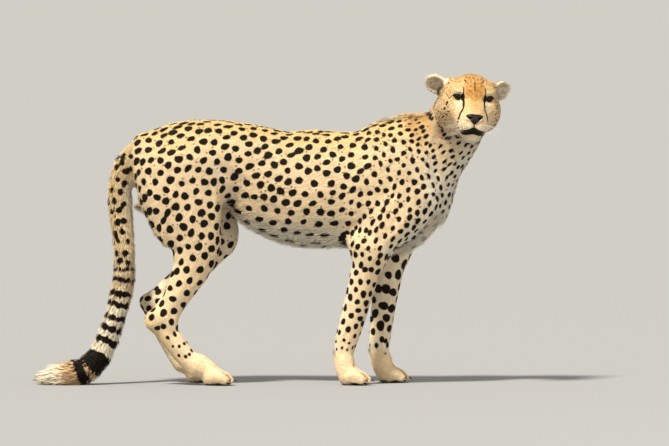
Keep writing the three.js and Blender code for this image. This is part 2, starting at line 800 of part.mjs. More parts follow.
for (const [name, { side, paw }] of Object.entries(FORELEGS)) {
  const wrist = ACROSS.wrist(paw[0]);
  const ownSide = beyond([0, side * BETWEEN_FORELEGS, 0], [0, side, 0]);
  const block = legBlock(FORE_CUT(side), FORE_BACK, LEGS_END);
  const ahead = beyond([0, 0, 0], [1, 0, 0]);
  keepPart(`foreleg_${name}_upper`, body, [block, first(ELBOW)]);
  keepPart(`foreleg_${name}_lower`, body, [ownSide, ahead, second(ELBOW), first(wrist)]);
  await fleshPart(`foreleg_${name}_paw`, {
    box: pawBox(paw[0], side * paw[1]),
    cell: PAW_CELL,
    wanted: PAW_TRIANGLES,
    keep: [second(wrist), second(CUTS.floor)],
  });
}

for (const [name, { side, thigh, shank, paw, front }] of Object.entries(HINDLEGS)) {
  const [kneeX, , kneeUp] = thigh[KNEE_ROW];
  const [ankleX, , ankleUp] = shank[ANKLE_ROW];
  const knee = ACROSS.knee(kneeX, kneeUp - KNEE_CUT_BELOW);
  const hock = ACROSS.hock(ankleX - HOCK_CUT_BEHIND, ankleUp + HOCK_CUT_ABOVE);
  const block = legBlock(HIND_CUT(side), -LEGS_END, front);
  const notTail = first(CUTS.trunkToTail);
  const ownSide = beyond([0, 0, 0], [0, side, 0]);
  keepPart(`hindleg_${name}_upper`, body, [block, first(knee), notTail]);
  keepPart(`hindleg_${name}_lower`, body, [block, ownSide, second(knee), first(hock)]);
  await fleshPart(`hindleg_${name}_paw`, {
    box: pawBox(paw[0], side * paw[1]),
    cell: PAW_CELL,
    wanted: PAW_TRIANGLES,
    keep: [second(hock), second(CUTS.floor)],
  });
}

// ---------------------------------------------------------------- head, ears, eyes and nose

function inHeadSolid(geometry) {
  return toSolid(geometry.clone().applyMatrix4(headMatrix));
}

// The block round an ear, from its root outwards.
const EAR_BLOCK = [62, 74, 120];
const EAR_ROOT = 8;
function earBlock(side, grow) {
  const [a, b, c] = EAR_BLOCK.map((v) => v + 2 * grow);
  const box = new THREE.BoxGeometry(a, b, c);
  box.translate(0, 0, EAR_ROOT + EAR_BLOCK[2] / 2);
  box.applyMatrix4(earMatrix(side));
  return inHeadSolid(box);
}

function eyeBall(radius) {
  return new THREE.SphereGeometry(radius, 14, 8).rotateX(Math.PI / 2).rotateY(Math.PI / 2);
}

const HEAD_BOX = [[-176, -117, -144], [88, 117, 90]];
const HEAD_CELL = 6;
const HEAD_TRIANGLES = 1800;
const NOSE_BOX = [[42, -34, -84], [86, 34, -28]];
const NOSE_CELL = 4;
const NOSE_TRIANGLES = { leather: 190, recess: 260 };
const EAR_CELL = 4;
const EAR_TRIANGLES = 340;
const EAR_MIDDLE = 28; // from the root to the middle of an ear
const EAR_REACH = 56; // half the side of the box that holds an ear

const noseSolid = async (grow, wanted) =>
  inHeadSolid(
    await surface((x, y, z) => noseField(x, y, z) - grow, NOSE_BOX, NOSE_CELL, wanted),
  );
const noseRecess = await noseSolid(NOSE_GAP, NOSE_TRIANGLES.recess);

const sockets = pairOf((side) =>
  inHeadSolid(eyeBall(EYE_RADIUS + EYE_GAP).translate(...eyeCentre(side))),
);
await fleshPart('head', {
  frame: headMatrix,
  box: HEAD_BOX,
  cell: HEAD_CELL,
  wanted: HEAD_TRIANGLES,
  keep: [second(CUTS.neckToHead)],
  away: [...sockets, noseRecess, earBlock(1, CUT_GAP), earBlock(-1, CUT_GAP)],
});

for (const [name, side] of Object.entries({ left: 1, right: -1 })) {
  const centre = new THREE.Vector3(0, 0, EAR_MIDDLE).applyMatrix4(earMatrix(side));
  const low = centre.clone().subScalar(EAR_REACH).toArray();
  const high = centre.clone().addScalar(EAR_REACH).toArray();
  await fleshPart(`ear_${name}`, {
    frame: headMatrix,
    box: [low, high],
    cell: EAR_CELL,
    wanted: EAR_TRIANGLES,
    keep: [earBlock(side, 0)],
    look: MATERIALS.pale,
  });
  const ball = inHeadSolid(eyeBall(EYE_RADIUS).translate(...eyeCentre(side)));
  addPart(`eye_${name}`, ball, MATERIALS.eye);
}
addPart('nose', await noseSolid(0, NOSE_TRIANGLES.leather), MATERIALS.nose);

// ---------------------------------------------------------------- claws

const CLAW_SIDES = 5;
const CLAW_RINGS = 2;
const CLAW_DROOP = 24; // degrees below level at the root
const CLAW_CURL = 30; // further degrees down at the tip
const CLAW_FLATNESS = 0.8; // width of a claw over its height
const CLAW_STEP = 0.25; // a claw is moved outwards in steps of this length
const CLAW_BACK = 12; // from the tip of the toe back to the root of its claw
const CLAW_ROOT_UP = 21; // where a claw leaves its toe, above the floor
const DEWCLAW_TURN = 60; // degrees that a dewclaw points inwards

// A curved claw along +X from the origin, drooping and narrowing to its tip.
function clawGeometry() {
  const cone = new THREE.ConeGeometry(CLAW_RADIUS, CLAW_LENGTH, CLAW_SIDES, CLAW_RINGS);
  cone.translate(0, CLAW_LENGTH / 2, 0).rotateZ(-Math.PI / 2);
  const at = cone.attributes.position;
  for (let i = 0; i < at.count; i++) {
    const along = at.getX(i) / CLAW_LENGTH;
    const drop = CLAW_LENGTH * Math.tan(THREE.MathUtils.degToRad(CLAW_CURL)) * along * along * 0.5;
    at.setXYZ(i, at.getX(i), at.getY(i) * CLAW_FLATNESS, at.getZ(i) - drop);
  }
  return cone.rotateY(THREE.MathUtils.degToRad(CLAW_DROOP));
}

// Sets a claw in front of its toe, moved out of the paw until it stands clear of the coat.
function addClaw(name, paw, from, heading) {
  const out = new THREE.Vector3(1, 0, 0)
    .applyAxisAngle(new THREE.Vector3(0, 1, 0), THREE.MathUtils.degToRad(CLAW_DROOP))
    .applyAxisAngle(new THREE.Vector3(0, 0, 1), heading);
  const root = new THREE.Vector3(...from);
  const turn = new THREE.Matrix4().makeRotationZ(heading);
  const claw = toSolid(clawGeometry().applyMatrix4(turn));
  let placedClaw = claw.translate(root.toArray());
  while (placedClaw.minGap(paw, 2) < CLAW_GAP) {
    root.addScaledVector(out, CLAW_STEP);
    placedClaw = claw.translate(root.toArray());
  }
  addPart(name, placedClaw, MATERIALS.claw);
}

for (const [kind, legs] of Object.entries({ foreleg: FORELEGS, hindleg: HINDLEGS })) {
  for (const [name, { side, paw }] of Object.entries(legs)) {
    const matrix = pawMatrix(paw, side);
    const heading = THREE.MathUtils.degToRad(paw[2]);
    const foot = solids[`${kind}_${name}_paw`];
    TOE_OFFSETS.forEach((y, i) => {
      const tip = PAW_LENGTH - TOE_SHORTER[i];
      const root = new THREE.Vector3(tip - CLAW_BACK, y * TOE_SPLAY, CLAW_ROOT_UP);
      root.applyMatrix4(matrix);
      addClaw(`claw_${kind}_${name}_${i + 1}`, foot, root.toArray(), heading);
    });
    if (kind === 'foreleg') {
      const inner = side * (paw[1] - DEWCLAW_TOE.inward);
      const turned = heading - side * THREE.MathUtils.degToRad(DEWCLAW_TURN);
      addClaw(`dewclaw_${name}`, foot, [paw[0] + DEWCLAW_TOE.ahead, inner, DEWCLAW_TOE.up], turned);
    }
  }
}

// ---------------------------------------------------------------- the part's own frame

// The origin is on the floor, under the middle of the whole animal.
const whole = new THREE.Box3().setFromObject(cheetah);
const middle = whole.getCenter(new THREE.Vector3());
cheetah.position.set(-middle.x, -middle.y, 0);

export default cheetah;
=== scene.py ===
"""A life-size standing cheetah, as a still model for a museum.

One skin covers the whole body under a coat of short tufts. Eyes, lid rims, nose leather, claws and
whiskers are pieces of their own. Skin and coat take their spots, rings and face lines from the
same fields, which are kept as attributes of their meshes.
"""

from math import cos, radians, sin

import bmesh
import bpy
import numpy as np
from mathutils import Euler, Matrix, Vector, noise
from mathutils.bvhtree import BVHTree
from mathutils.kdtree import KDTree


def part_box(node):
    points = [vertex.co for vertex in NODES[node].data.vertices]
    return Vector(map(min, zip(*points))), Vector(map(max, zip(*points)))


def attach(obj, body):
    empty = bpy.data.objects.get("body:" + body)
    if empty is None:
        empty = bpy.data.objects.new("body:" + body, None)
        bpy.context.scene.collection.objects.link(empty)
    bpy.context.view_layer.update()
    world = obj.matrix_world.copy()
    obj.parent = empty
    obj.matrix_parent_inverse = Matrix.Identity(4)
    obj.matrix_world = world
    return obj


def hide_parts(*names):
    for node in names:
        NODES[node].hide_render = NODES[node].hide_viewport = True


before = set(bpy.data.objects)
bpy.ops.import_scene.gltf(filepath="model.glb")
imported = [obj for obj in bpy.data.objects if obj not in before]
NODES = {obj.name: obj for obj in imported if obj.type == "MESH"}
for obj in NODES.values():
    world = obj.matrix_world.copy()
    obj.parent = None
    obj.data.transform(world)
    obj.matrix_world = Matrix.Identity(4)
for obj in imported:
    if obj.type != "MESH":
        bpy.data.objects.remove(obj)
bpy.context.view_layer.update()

bl_info = {
    "name": "Cheetah",
    "version": (1, 0, 0),
    "blender": (4, 5, 0),
    "location": "View3D > Sidebar > Cheetah",
    "description": "Builds a standing cheetah around its packed solids",
    "category": "Add Mesh",
}

MM = 0.001

# ------------------------------------------------------------------------------ the body's plan
#
# Body places are in millimetres, x forwards, y to the left and z up, from a point on the floor
# under the middle of the back. Head places are in millimetres in the head's own frame: x out of
# the nose, y to the left ear, z up, from the nose bridge between the lower lids.

HEAD_AT = (511.0, -135.0, 801.0)
HEAD_TURN = Euler((radians(-4.5), radians(3), radians(-82)))
EYE_RADIUS = 18.0
EYE_PLACE = np.array((-6.0, 41.5, 4.5))
EYE_TURN_OUT = radians(6)

HEAD_AXES = np.array(HEAD_TURN.to_matrix())


def node_middle(name):
    low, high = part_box(name)
    return (np.array(low) + np.array(high)) / 2


def node_size(name):
    """Half the diagonal of a node's box."""
    low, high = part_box(name)
    return np.linalg.norm(np.array(high) - np.array(low)) / 2


EYES_MIDDLE = np.array((node_middle("eye_left") + node_middle("eye_right")) / 2) / MM
HEAD_ORIGIN = EYES_MIDDLE - HEAD_AXES @ (EYE_PLACE * (1, 0, 1))
BODY_SHIFT = HEAD_ORIGIN - np.array(HEAD_AT)

# The middle line of the tail, from its root to its laid tip.
TAIL_LINE = np.array([
    (-440, 0, 634), (-463, 0, 590), (-475, 0, 545), (-476, -2, 500), (-468, -4, 440),
    (-459, -6, 370), (-463, -8, 300), (-475, -10, 240), (-490, -14, 182), (-509, -20, 128),
    (-532, -28, 80), (-568, -38, 44), (-612, -46, 30), (-654, -50, 25), (-696, -53, 20),
], float)
TAIL_STEPS = np.diff(TAIL_LINE, axis=0)
TAIL_LENGTHS = np.linalg.norm(TAIL_STEPS, axis=1)

# Marks on the tail, in millimetres along that line: pairs of spots, then whole rings.
TAIL_PAIRS = (2, 24, 48, 74, 102, 130, 158, 186, 214, 242, 270, 296)
TAIL_REACH = 30  # about the tail's radius, at which the pairs are looked for
TAIL_RINGS = (
    (322, 6), (352, 7), (391, 8), (422, 8), (460, 8.5), (493, 8.5), (530, 11), (597, 26), (649, 14),
)

# Heel of each paw: forwards and sideways in millimetres, and heading in degrees. The creases
# between its toes stand this far from its middle line at the knuckles, and run from the first to
# the second distance ahead of the heel.
PAWS = ((130, -62, -5), (236, 62, 6), (-254, -75, -4), (-300, 75, 4))
TOE_CREASES = (-17.5, 0.0, 17.5)
TOE_REACH = (32, 62)

# Outlines on the face, in millimetres. Lids are outwards and upwards from the eye's middle; nose
# and mouth are sideways and upwards from the head's origin, for one side of the face.
LID_OUTLINE = [
    (12.6, 4.4), (8.6, 6.6), (2, 7.6), (-6, 7.0), (-10.8, 4.4), (-14.2, -2.4), (-10, -4.6),
    (-3, -5.8), (4, -4.2), (9, -0.4),
]
NOSE_OUTLINE = [
    (0, -34.5), (10, -33.5), (18, -35), (25, -39), (25.5, -43), (22, -49), (15.5, -53.5),
    (9.5, -59), (5, -64), (0, -66),
]
MOUTH_UPPER = [(0, -70.5), (6, -74), (14, -78.2), (22, -81), (30, -82), (35.5, -84)]
MOUTH_LOWER = [(0, -93), (9, -94.6), (18, -96.8), (26, -97.2), (32, -93.8), (35.5, -84)]
TEAR_LINE = [
    (22, 29, 12), (25, 28.4, 2), (28, 28.4, -8), (33, 29.3, -18), (36, 32, -27), (36, 36.5, -36),
    (37, 39.5, -45), (37, 41.5, -54),
]
FACE_LINES = (
    (TEAR_LINE, 2.1),
    ([(24, 29, 8), (28, 29, -8), (33, 30, -17)], 2.9),
    # A wide dark patch at the inner corner of each eye: partly the dark fur there, partly painted
    # shade under the brow.
    ([(19, 31.6, 12), (22, 32, 6), (24, 31.6, 0)], 4.2),
    ([(13, 30.5, 34), (17, 31, 25), (20, 30.5, 15)], 1.6),
    ([(36, 42, -61), (35, 42.5, -63)], 1.7),
    ([(33, 35, -84.5), (24, 40, -86), (12, 44, -89)], 1.5),
    ([(3, 57, 10), (-3, 62, 4), (-5, 66, -3)], 1.3),
    ([(-5, 70, -11), (-4, 72.5, -20)], 2.2),
    ([(-7, 75, -28), (-11, 77, -33)], 2.0),
    ([(-38, 82, -62), (-33, 80, -59)], 2.0),
    ([(-26, 76, -56), (-21, 74, -53)], 2.0),
    ([(-10, 71, -49), (-6, 69, -46)], 1.8),
    ([(4, 66, -38), (8, 64, -36)], 1.4),
    ([(17, 55, -29), (19, 53, -30)], 0.9),
    ([(-4, 59, -60), (0, 57, -60)], 1.2),
    ([(36, 42, -70), (35, 41.5, -73)], 1.2),
    ([(36, 40, -78), (34, 38.5, -82)], 1.7),
    ([(30, 43, -80), (28, 42, -84)], 1.3),
    ([(0, 25, 47), (-2, 24, 51), (-5, 27, 53)], 1.6),
    ([(-6, 10, 54), (-14, 13, 60)], 1.2),
    ([(-14, 21, 58), (-22, 26, 63)], 1.3),
    ([(-24, 9, 66), (-32, 12, 69)], 1.2),
    ([(-14, 38, 52), (-22, 42, 56)], 1.1),
)
# The rows of dots from which the whiskers grow: sideways and upwards, like the outlines.
WHISKER_ROWS = [
    (y - 1.2 * row, -62 - 4.6 * row - 0.16 * (y - 20)) for row in range(4) for y in (23, 29, 35)]
MIDDLE_LINES = (
    ([(-30, 0.5, 66), (-20, -0.5, 63)], 1.3),
    ([(-12, 0.5, 59), (-2, -0.5, 53)], 1.2),
    ([(4, 0, 48), (12, 0.5, 41), (18, 0, 34), (22, -0.5, 27)], 1.7),
    ([(22, -0.5, 27), (29, 0, 10), (33, 0, 2)], 0.5),
    ([(64, 0, -64), (64, 0, -75)], 1.6),
)


def to_body(points):
    """World metres to body millimetres."""
    return np.asarray(points) / MM - BODY_SHIFT


def to_head(points):
    """World metres to head millimetres."""
    return (np.asarray(points) / MM - HEAD_ORIGIN) @ HEAD_AXES


def from_head(points):
    """Head millimetres to world metres."""
    return (np.asarray(points) @ HEAD_AXES.T + HEAD_ORIGIN) * MM


def from_body(points):
    """Body millimetres to world metres."""
    return (np.asarray(points) + BODY_SHIFT) * MM


# ------------------------------------------------------------------------------ plain geometry


def ramp(low, high, value):
    """0 below low and 1 above high, with a smooth rise between them."""
    t = np.clip((np.asarray(value, float) - low) / (high - low), 0.0, 1.0)
    return t * t * (3.0 - 2.0 * t)


def hump(points, centre, radii):
    """1 at the centre of an ellipsoid, falling smoothly to about 0.2 at its surface."""
    d = (points - np.array(centre, float)) / np.array(radii, float)
    return np.exp(-1.6 * (d * d).sum(1))


def humps(head, centre, radii):
    """The same hump on both sides of the face."""
    folded = head * (1, 0, 1) + np.abs(head * (0, 1, 0))
    return hump(folded, centre, radii)


def unit(vectors):
    return vectors / np.maximum(np.linalg.norm(vectors, axis=-1, keepdims=True), 1e-12)


def flattened(vectors, normals):
    """Unit vectors along the surface, without their part along its normals."""
    return unit(vectors - (vectors * normals).sum(1, keepdims=True) * normals)


def rounded(points, closed, per=8):
    """A smooth curve through the points."""
    p = np.array(points, float)
    count = len(p)
    spans = count if closed else count - 1
    out = []
    for i in range(spans):
        pick = [(i + k) % count if closed else min(max(i + k, 0), count - 1) for k in (-1, 0, 1, 2)]
        a, b, c, d = p[pick]
        for t in np.arange(per) / per:
            out.append(0.5 * (2 * b + (c - a) * t + (2 * a - 5 * b + 4 * c - d) * t * t
                              + (3 * b - a - 3 * c + d) * t ** 3))
    if not closed:
        out.append(p[-1])
    return np.array(out)


def along(points, line):
    """How far each point is from a bent line, and how far along the line it is."""
    best = np.full(len(points), 1e9)
    arc = np.zeros(len(points))
    start = 0.0
    for a, b in zip(line[:-1], line[1:]):
        step = b - a
        length = np.linalg.norm(step)
        share = np.clip((points - a) @ step / max(length * length, 1e-9), 0.0, 1.0)
        gap = np.linalg.norm(points - (a + share[:, None] * step), axis=1)
        nearer = gap < best
        best = np.where(nearer, gap, best)
        arc = np.where(nearer, start + share * length, arc)
        start += length
    return best, arc


def depth_in(points, loop):
    """How far flat points lie inside a closed loop; outside it the depth is negative."""
    gap, _ = along(points, np.vstack([loop, loop[:1]]))
    x, y = points.T
    inside = np.zeros(len(points), bool)
    for (ax, ay), (bx, by) in zip(loop, np.roll(loop, -1, axis=0)):
        crosses = (ay > y) != (by > y)
        inside ^= crosses & (x < (bx - ax) * (y - ay) / (by - ay + 1e-12) + ax)
    return np.where(inside, gap, -gap)


def both_sides(half):
    """A closed loop from an outline that runs from the middle line round one side."""
    curve = rounded(half, closed=False)
    other = curve[::-1][1:-1] * (-1, 1)
    return np.vstack([curve, other])


LIDS = rounded(LID_OUTLINE, closed=True)
NOSE = both_sides(NOSE_OUTLINE)
MOUTH = both_sides(MOUTH_UPPER + MOUTH_LOWER[-2::-1])


def eye_frame(side):
    """The middle of an eye and its forward, outward and upward directions, in the head's frame."""
    forward = (cos(EYE_TURN_OUT), side * sin(EYE_TURN_OUT), 0)
    outward = (-sin(EYE_TURN_OUT), side * cos(EYE_TURN_OUT), 0)
    return EYE_PLACE * (1, side, 1), np.array((forward, outward, (0, 0, 1)))


# ------------------------------------------------------------------------------ settings


def colour_setting(name, description, hex_value):
    return bpy.props.FloatVectorProperty(
        name=name, description=description, default=linear(hex_value), size=3, min=0.0, max=1.0,
        subtype="COLOR")


def linear(hex_value):
    """A linear colour from a hex number in sRGB."""
    parts = [((hex_value >> shift) & 255) / 255 for shift in (16, 8, 0)]
    return tuple(c / 12.92 if c <= 0.04045 else ((c + 0.055) / 1.055) ** 2.4 for c in parts)


class CheetahSkin(bpy.types.PropertyGroup):
    grain: bpy.props.FloatProperty(
        name="Grain", description="Spacing of the skin's mesh on the trunk",
        default=4.3 * MM, min=3.0 * MM, max=12.0 * MM, unit="LENGTH")
    seed: bpy.props.IntProperty(
        name="Seed", description="Start of the random places of spots and tufts", default=7, min=0)


class CheetahCoat(bpy.types.PropertyGroup):
    back: colour_setting("Back", "Coat along the back", 0xDBBC84)
    flank: colour_setting("Flank", "Coat on the sides and legs", 0xE8CFA8)
    under: colour_setting("Underside", "Coat of the belly, chin and tail end", 0xEADFC8)
    warm: colour_setting("Forehead", "Coat of the forehead and nape", 0xB88238)
    # The spots' near black also paints the dark field, with painted shade in the ears. The specks'
    # brown also paints the fold field, with painted shade in the toe creases and a painted shadow
    # under the jaw.
    spots: colour_setting("Spots", "The solid spots and rings", 0x150C05)
    specks: colour_setting("Specks", "The small dots between the spots", 0x7A4C22)
    bare: colour_setting("Lips", "Bare black skin of lips and pads", 0x14100E)
    length: bpy.props.FloatProperty(
        name="Length", description="Length of all tufts, as a share of the usual one",
        default=1.0, min=0.3, max=2.0, subtype="FACTOR")
    amount: bpy.props.FloatProperty(
        name="Amount", description="Number of tufts, as a share of the usual one",
        default=1.0, min=0.1, max=1.5, subtype="FACTOR")


class CheetahFace(bpy.types.PropertyGroup):
    # The iris is a darker brown and the pupil wider than a living cheetah's in daylight: partly the
    # eye's own colour, partly painted shade from the brow.
    iris: colour_setting("Iris", "Amber of the iris", 0x2E190C)
    pupil: bpy.props.FloatProperty(
        name="Pupil", description="Radius of the pupil",
        default=5.6 * MM, min=1.0 * MM, max=7.0 * MM, unit="LENGTH")
    nose: colour_setting("Nose", "Nose leather", 0x0F0B0A)
    whiskers: bpy.props.IntProperty(
        name="Whiskers", description="Whiskers on each side of the muzzle",
        default=9, min=0, max=16)


class CheetahStage(bpy.types.PropertyGroup):
    distance: bpy.props.FloatProperty(
        name="Distance", description="From the camera to the middle of the animal",
        default=40.0, min=2.0, max=60.0, unit="LENGTH")
    elevation: bpy.props.FloatProperty(
        name="Elevation", description="Height of the view above level",
        default=radians(2.5), min=0.0, max=radians(80), subtype="ANGLE")
    view_width: bpy.props.FloatProperty(
        name="View width", description="Width of the picture at the animal",
        default=1.8732, min=0.5, max=5.0, unit="LENGTH")
    sun: bpy.props.FloatProperty(
        name="Sun", description="Strength of the warm main light", default=5.4, min=0.0, max=20.0)
    room: bpy.props.FloatProperty(
        name="Room", description="Strength of the even light of the pale room", default=0.64,
        min=0.0, max=5.0)


# ------------------------------------------------------------------------------ mesh helpers


def read(items, key, width=1, kind=float):
    """One property of all vertices, edges or other items, with a row of numbers for each."""
    out = np.empty(len(items) * width, kind)
    items.foreach_get(key, out)
    return out if width == 1 else out.reshape(-1, width)


def coords(mesh):
    return read(mesh.vertices, "co", 3)


def set_coords(mesh, points):
    mesh.vertices.foreach_set("co", np.ascontiguousarray(points, dtype=float).ravel())
    mesh.update()


def edges_of(mesh):
    return read(mesh.edges, "vertices", 2, np.int32)


def normals_of(mesh):
    return read(mesh.vertex_normals, "vector", 3)


def keep(mesh, name, values):
    """Keeps a number or a vector for each vertex as an attribute."""
    values = np.ascontiguousarray(values, dtype=np.float32)
    kind, key = ("FLOAT", "value") if values.ndim == 1 else ("FLOAT_VECTOR", "vector")
    mesh.attributes.new(name, kind, "POINT").data.foreach_set(key, values.ravel())


def kept(mesh, name):
    """Reads an attribute back as an array."""
    layer = mesh.attributes[name]
    width, key = (3, "vector") if layer.data_type == "FLOAT_VECTOR" else (1, "value")
    return read(layer.data, key, width, np.float32).astype(float)


def edit(mesh, *steps):
    """Changes a mesh by steps that work on it as a bmesh."""
    bm = bmesh.new()
    bm.from_mesh(mesh)
    for step in steps:
        step(bm)
    bm.to_mesh(mesh)
    bm.free()


def welded(node):
    """A node's solid as a bmesh, with its doubled corners joined."""
    bm = bmesh.new()
    bm.from_mesh(NODES[node].data)
    bmesh.ops.remove_doubles(bm, verts=bm.verts, dist=1e-5)
    return bm


def mesh_of(name, bm):
    mesh = bpy.data.meshes.new(name)
    bm.to_mesh(mesh)
    bm.free()
    return mesh


def grid_quads(rows, around, closed=False):
    """Quads between rows of points that each run round once. When closed, the last row is joined
    to the first."""
    i = np.repeat(np.arange(rows if closed else rows - 1), around)
    k = np.tile(np.arange(around), len(i) // around)
    j, n = (i + 1) % rows, (k + 1) % around
    return np.column_stack([i * around + k, j * around + k, j * around + n, i * around + n])


def tree_of(points):
    """A search tree of places, each known by its number."""
    tree = KDTree(len(points))
    for i, p in enumerate(points.tolist()):
        tree.insert(p, i)
    tree.balance()
    return tree


def averaged(values, edges, count):
    """The mean of each vertex's neighbours."""
    a, b = edges[:, 0], edges[:, 1]
    degree = np.bincount(np.concatenate([a, b]), minlength=count)
    total = np.stack([
        np.bincount(a, values[b, k], count) + np.bincount(b, values[a, k], count)
        for k in range(values.shape[1])
    ], axis=1)
    return total / np.maximum(degree, 1)[:, None]


def smoothed(points, edges, weight, rounds, inward=0.5, outward=-0.53):
    """Smooths without shrinking, by steps inwards and outwards in turn."""
    out = points.copy()
    for _ in range(rounds):
        for step in (inward, outward):
            out += (averaged(out, edges, len(out)) - out) * (step * weight)[:, None]
    return out


def new_object(name, data):
    obj = bpy.data.objects.new(name, data)
    bpy.context.scene.collection.objects.link(obj)
    return obj


def mesh_from(name, points, faces):
    """A mesh from world points and faces of any size, given as rows of vertex numbers."""
    mesh = bpy.data.meshes.new(name)
    loops = np.concatenate([np.asarray(f, np.int32).ravel() for f in faces])
    sizes = np.concatenate([np.full(len(f), np.asarray(f).shape[1], np.int32) for f in faces])
    mesh.vertices.add(len(points))
    mesh.loops.add(len(loops))
    mesh.polygons.add(len(sizes))
    mesh.vertices.foreach_set("co", np.ascontiguousarray(points, dtype=np.float32).ravel())
    mesh.loops.foreach_set("vertex_index", loops)
    mesh.polygons.foreach_set("loop_start", np.concatenate([[0], np.cumsum(sizes)[:-1]]))
    mesh.update(calc_edges=True)
    mesh.shade_smooth()
    return mesh


def finish_piece(obj, slot, material, *replaced):
    obj.data.materials.clear()
    obj.data.materials.append(material)
    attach(obj, "root")
    if replaced:
        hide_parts(*replaced)


def skin_surface():
    """The finished skin as a tree that rays can hit."""
    graph = bpy.context.evaluated_depsgraph_get()
    return BVHTree.FromObject(bpy.data.objects["skin"], graph)


def hit_face(tree, y, z):
    """The place on the front of the head at y and z, in the head's frame, or None."""
    start = Vector(from_head((150.0, y, z)))
    place, _, _, _ = tree.ray_cast(start, Vector(-HEAD_AXES[:, 0]))
    return None if place is None else to_head(np.array(place))


# ------------------------------------------------------------------------------ materials

FUR_ROUGHNESS = 0.66
LIP_ROUGHNESS = 0.55


def per_length(millimetres):
    """The scale of a pattern in metres whose features are this long."""
    return 1.0 / (millimetres * MM)


class Recipe:
    """A material with its Principled node, and short ways to add the nodes that feed it."""

    def __init__(self, name, surface):
        self.material = bpy.data.materials.new(name)
        self.material.use_nodes = True
        self.tree = self.material.node_tree
        self.tree.nodes.clear()
        self.shader = self.add("BsdfPrincipled", {}, surface)
        self.add("OutputMaterial", {}, {"Surface": self.shader.outputs[0]})

    def add(self, kind, settings, inputs, output=None):
        """Adds a node, sets its own settings, and gives each input a value or a link. Hands back
        the node, or one of its outputs by name or number."""
        made = self.tree.nodes.new("ShaderNode" + kind)
        for key, value in settings.items():
            setattr(made, key, value)
        for key, value in inputs.items():
            socket = made.inputs[key]
            if isinstance(value, bpy.types.NodeSocket):
                self.tree.links.new(value, socket)
            elif socket.type == "RGBA":
                socket.default_value = (*value, 1.0)
            else:
                socket.default_value = value
        return made if output is None else made.outputs[output]

    def feed(self, name, value):
        """Links a value to an input of the Principled node."""
        self.tree.links.new(value, self.shader.inputs[name])

    def place(self):
        return self.add("TexCoord", {}, {}, "Object")

    def field(self, name, output="Fac"):
        """What an attribute of the mesh says."""
        return self.add("Attribute", {"attribute_name": name}, {}, output)

    def times(self, value, factor, plus=None):
        inputs = {0: value, 1: factor}
        if plus is None:
            return self.add("Math", {"operation": "MULTIPLY"}, inputs, 0)
        return self.add("Math", {"operation": "MULTIPLY_ADD"}, {**inputs, 2: plus}, 0)

    def rise(self, value, low, high, first=0.0, last=1.0):
        """A smooth change from first to last while the value goes from low to high."""
        inputs = {0: value, 1: low, 2: high, 3: first, 4: last}
        return self.add("MapRange", {"interpolation_type": "SMOOTHSTEP"}, inputs, 0)

    def mix(self, share, below, above, **settings):
        """One colour with a share of another over it."""
        return self.add("Mix", {"data_type": "RGBA", **settings}, {0: share, 6: below, 7: above}, 2)

    def clouds(self, place, size, detail, roughness=0.5):
        """Noise with features of this size in millimetres."""
        return self.add("TexNoise", {}, {
            "Vector": place, "Scale": per_length(size), "Detail": detail, "Roughness": roughness}, 0)

    def bump(self, height, strength, depth, **settings):
        """Raises the surface by up to the depth in millimetres."""
        self.feed("Normal", self.add("Bump", settings, {
            "Strength": strength, "Distance": depth * MM, "Height": height}, 0))


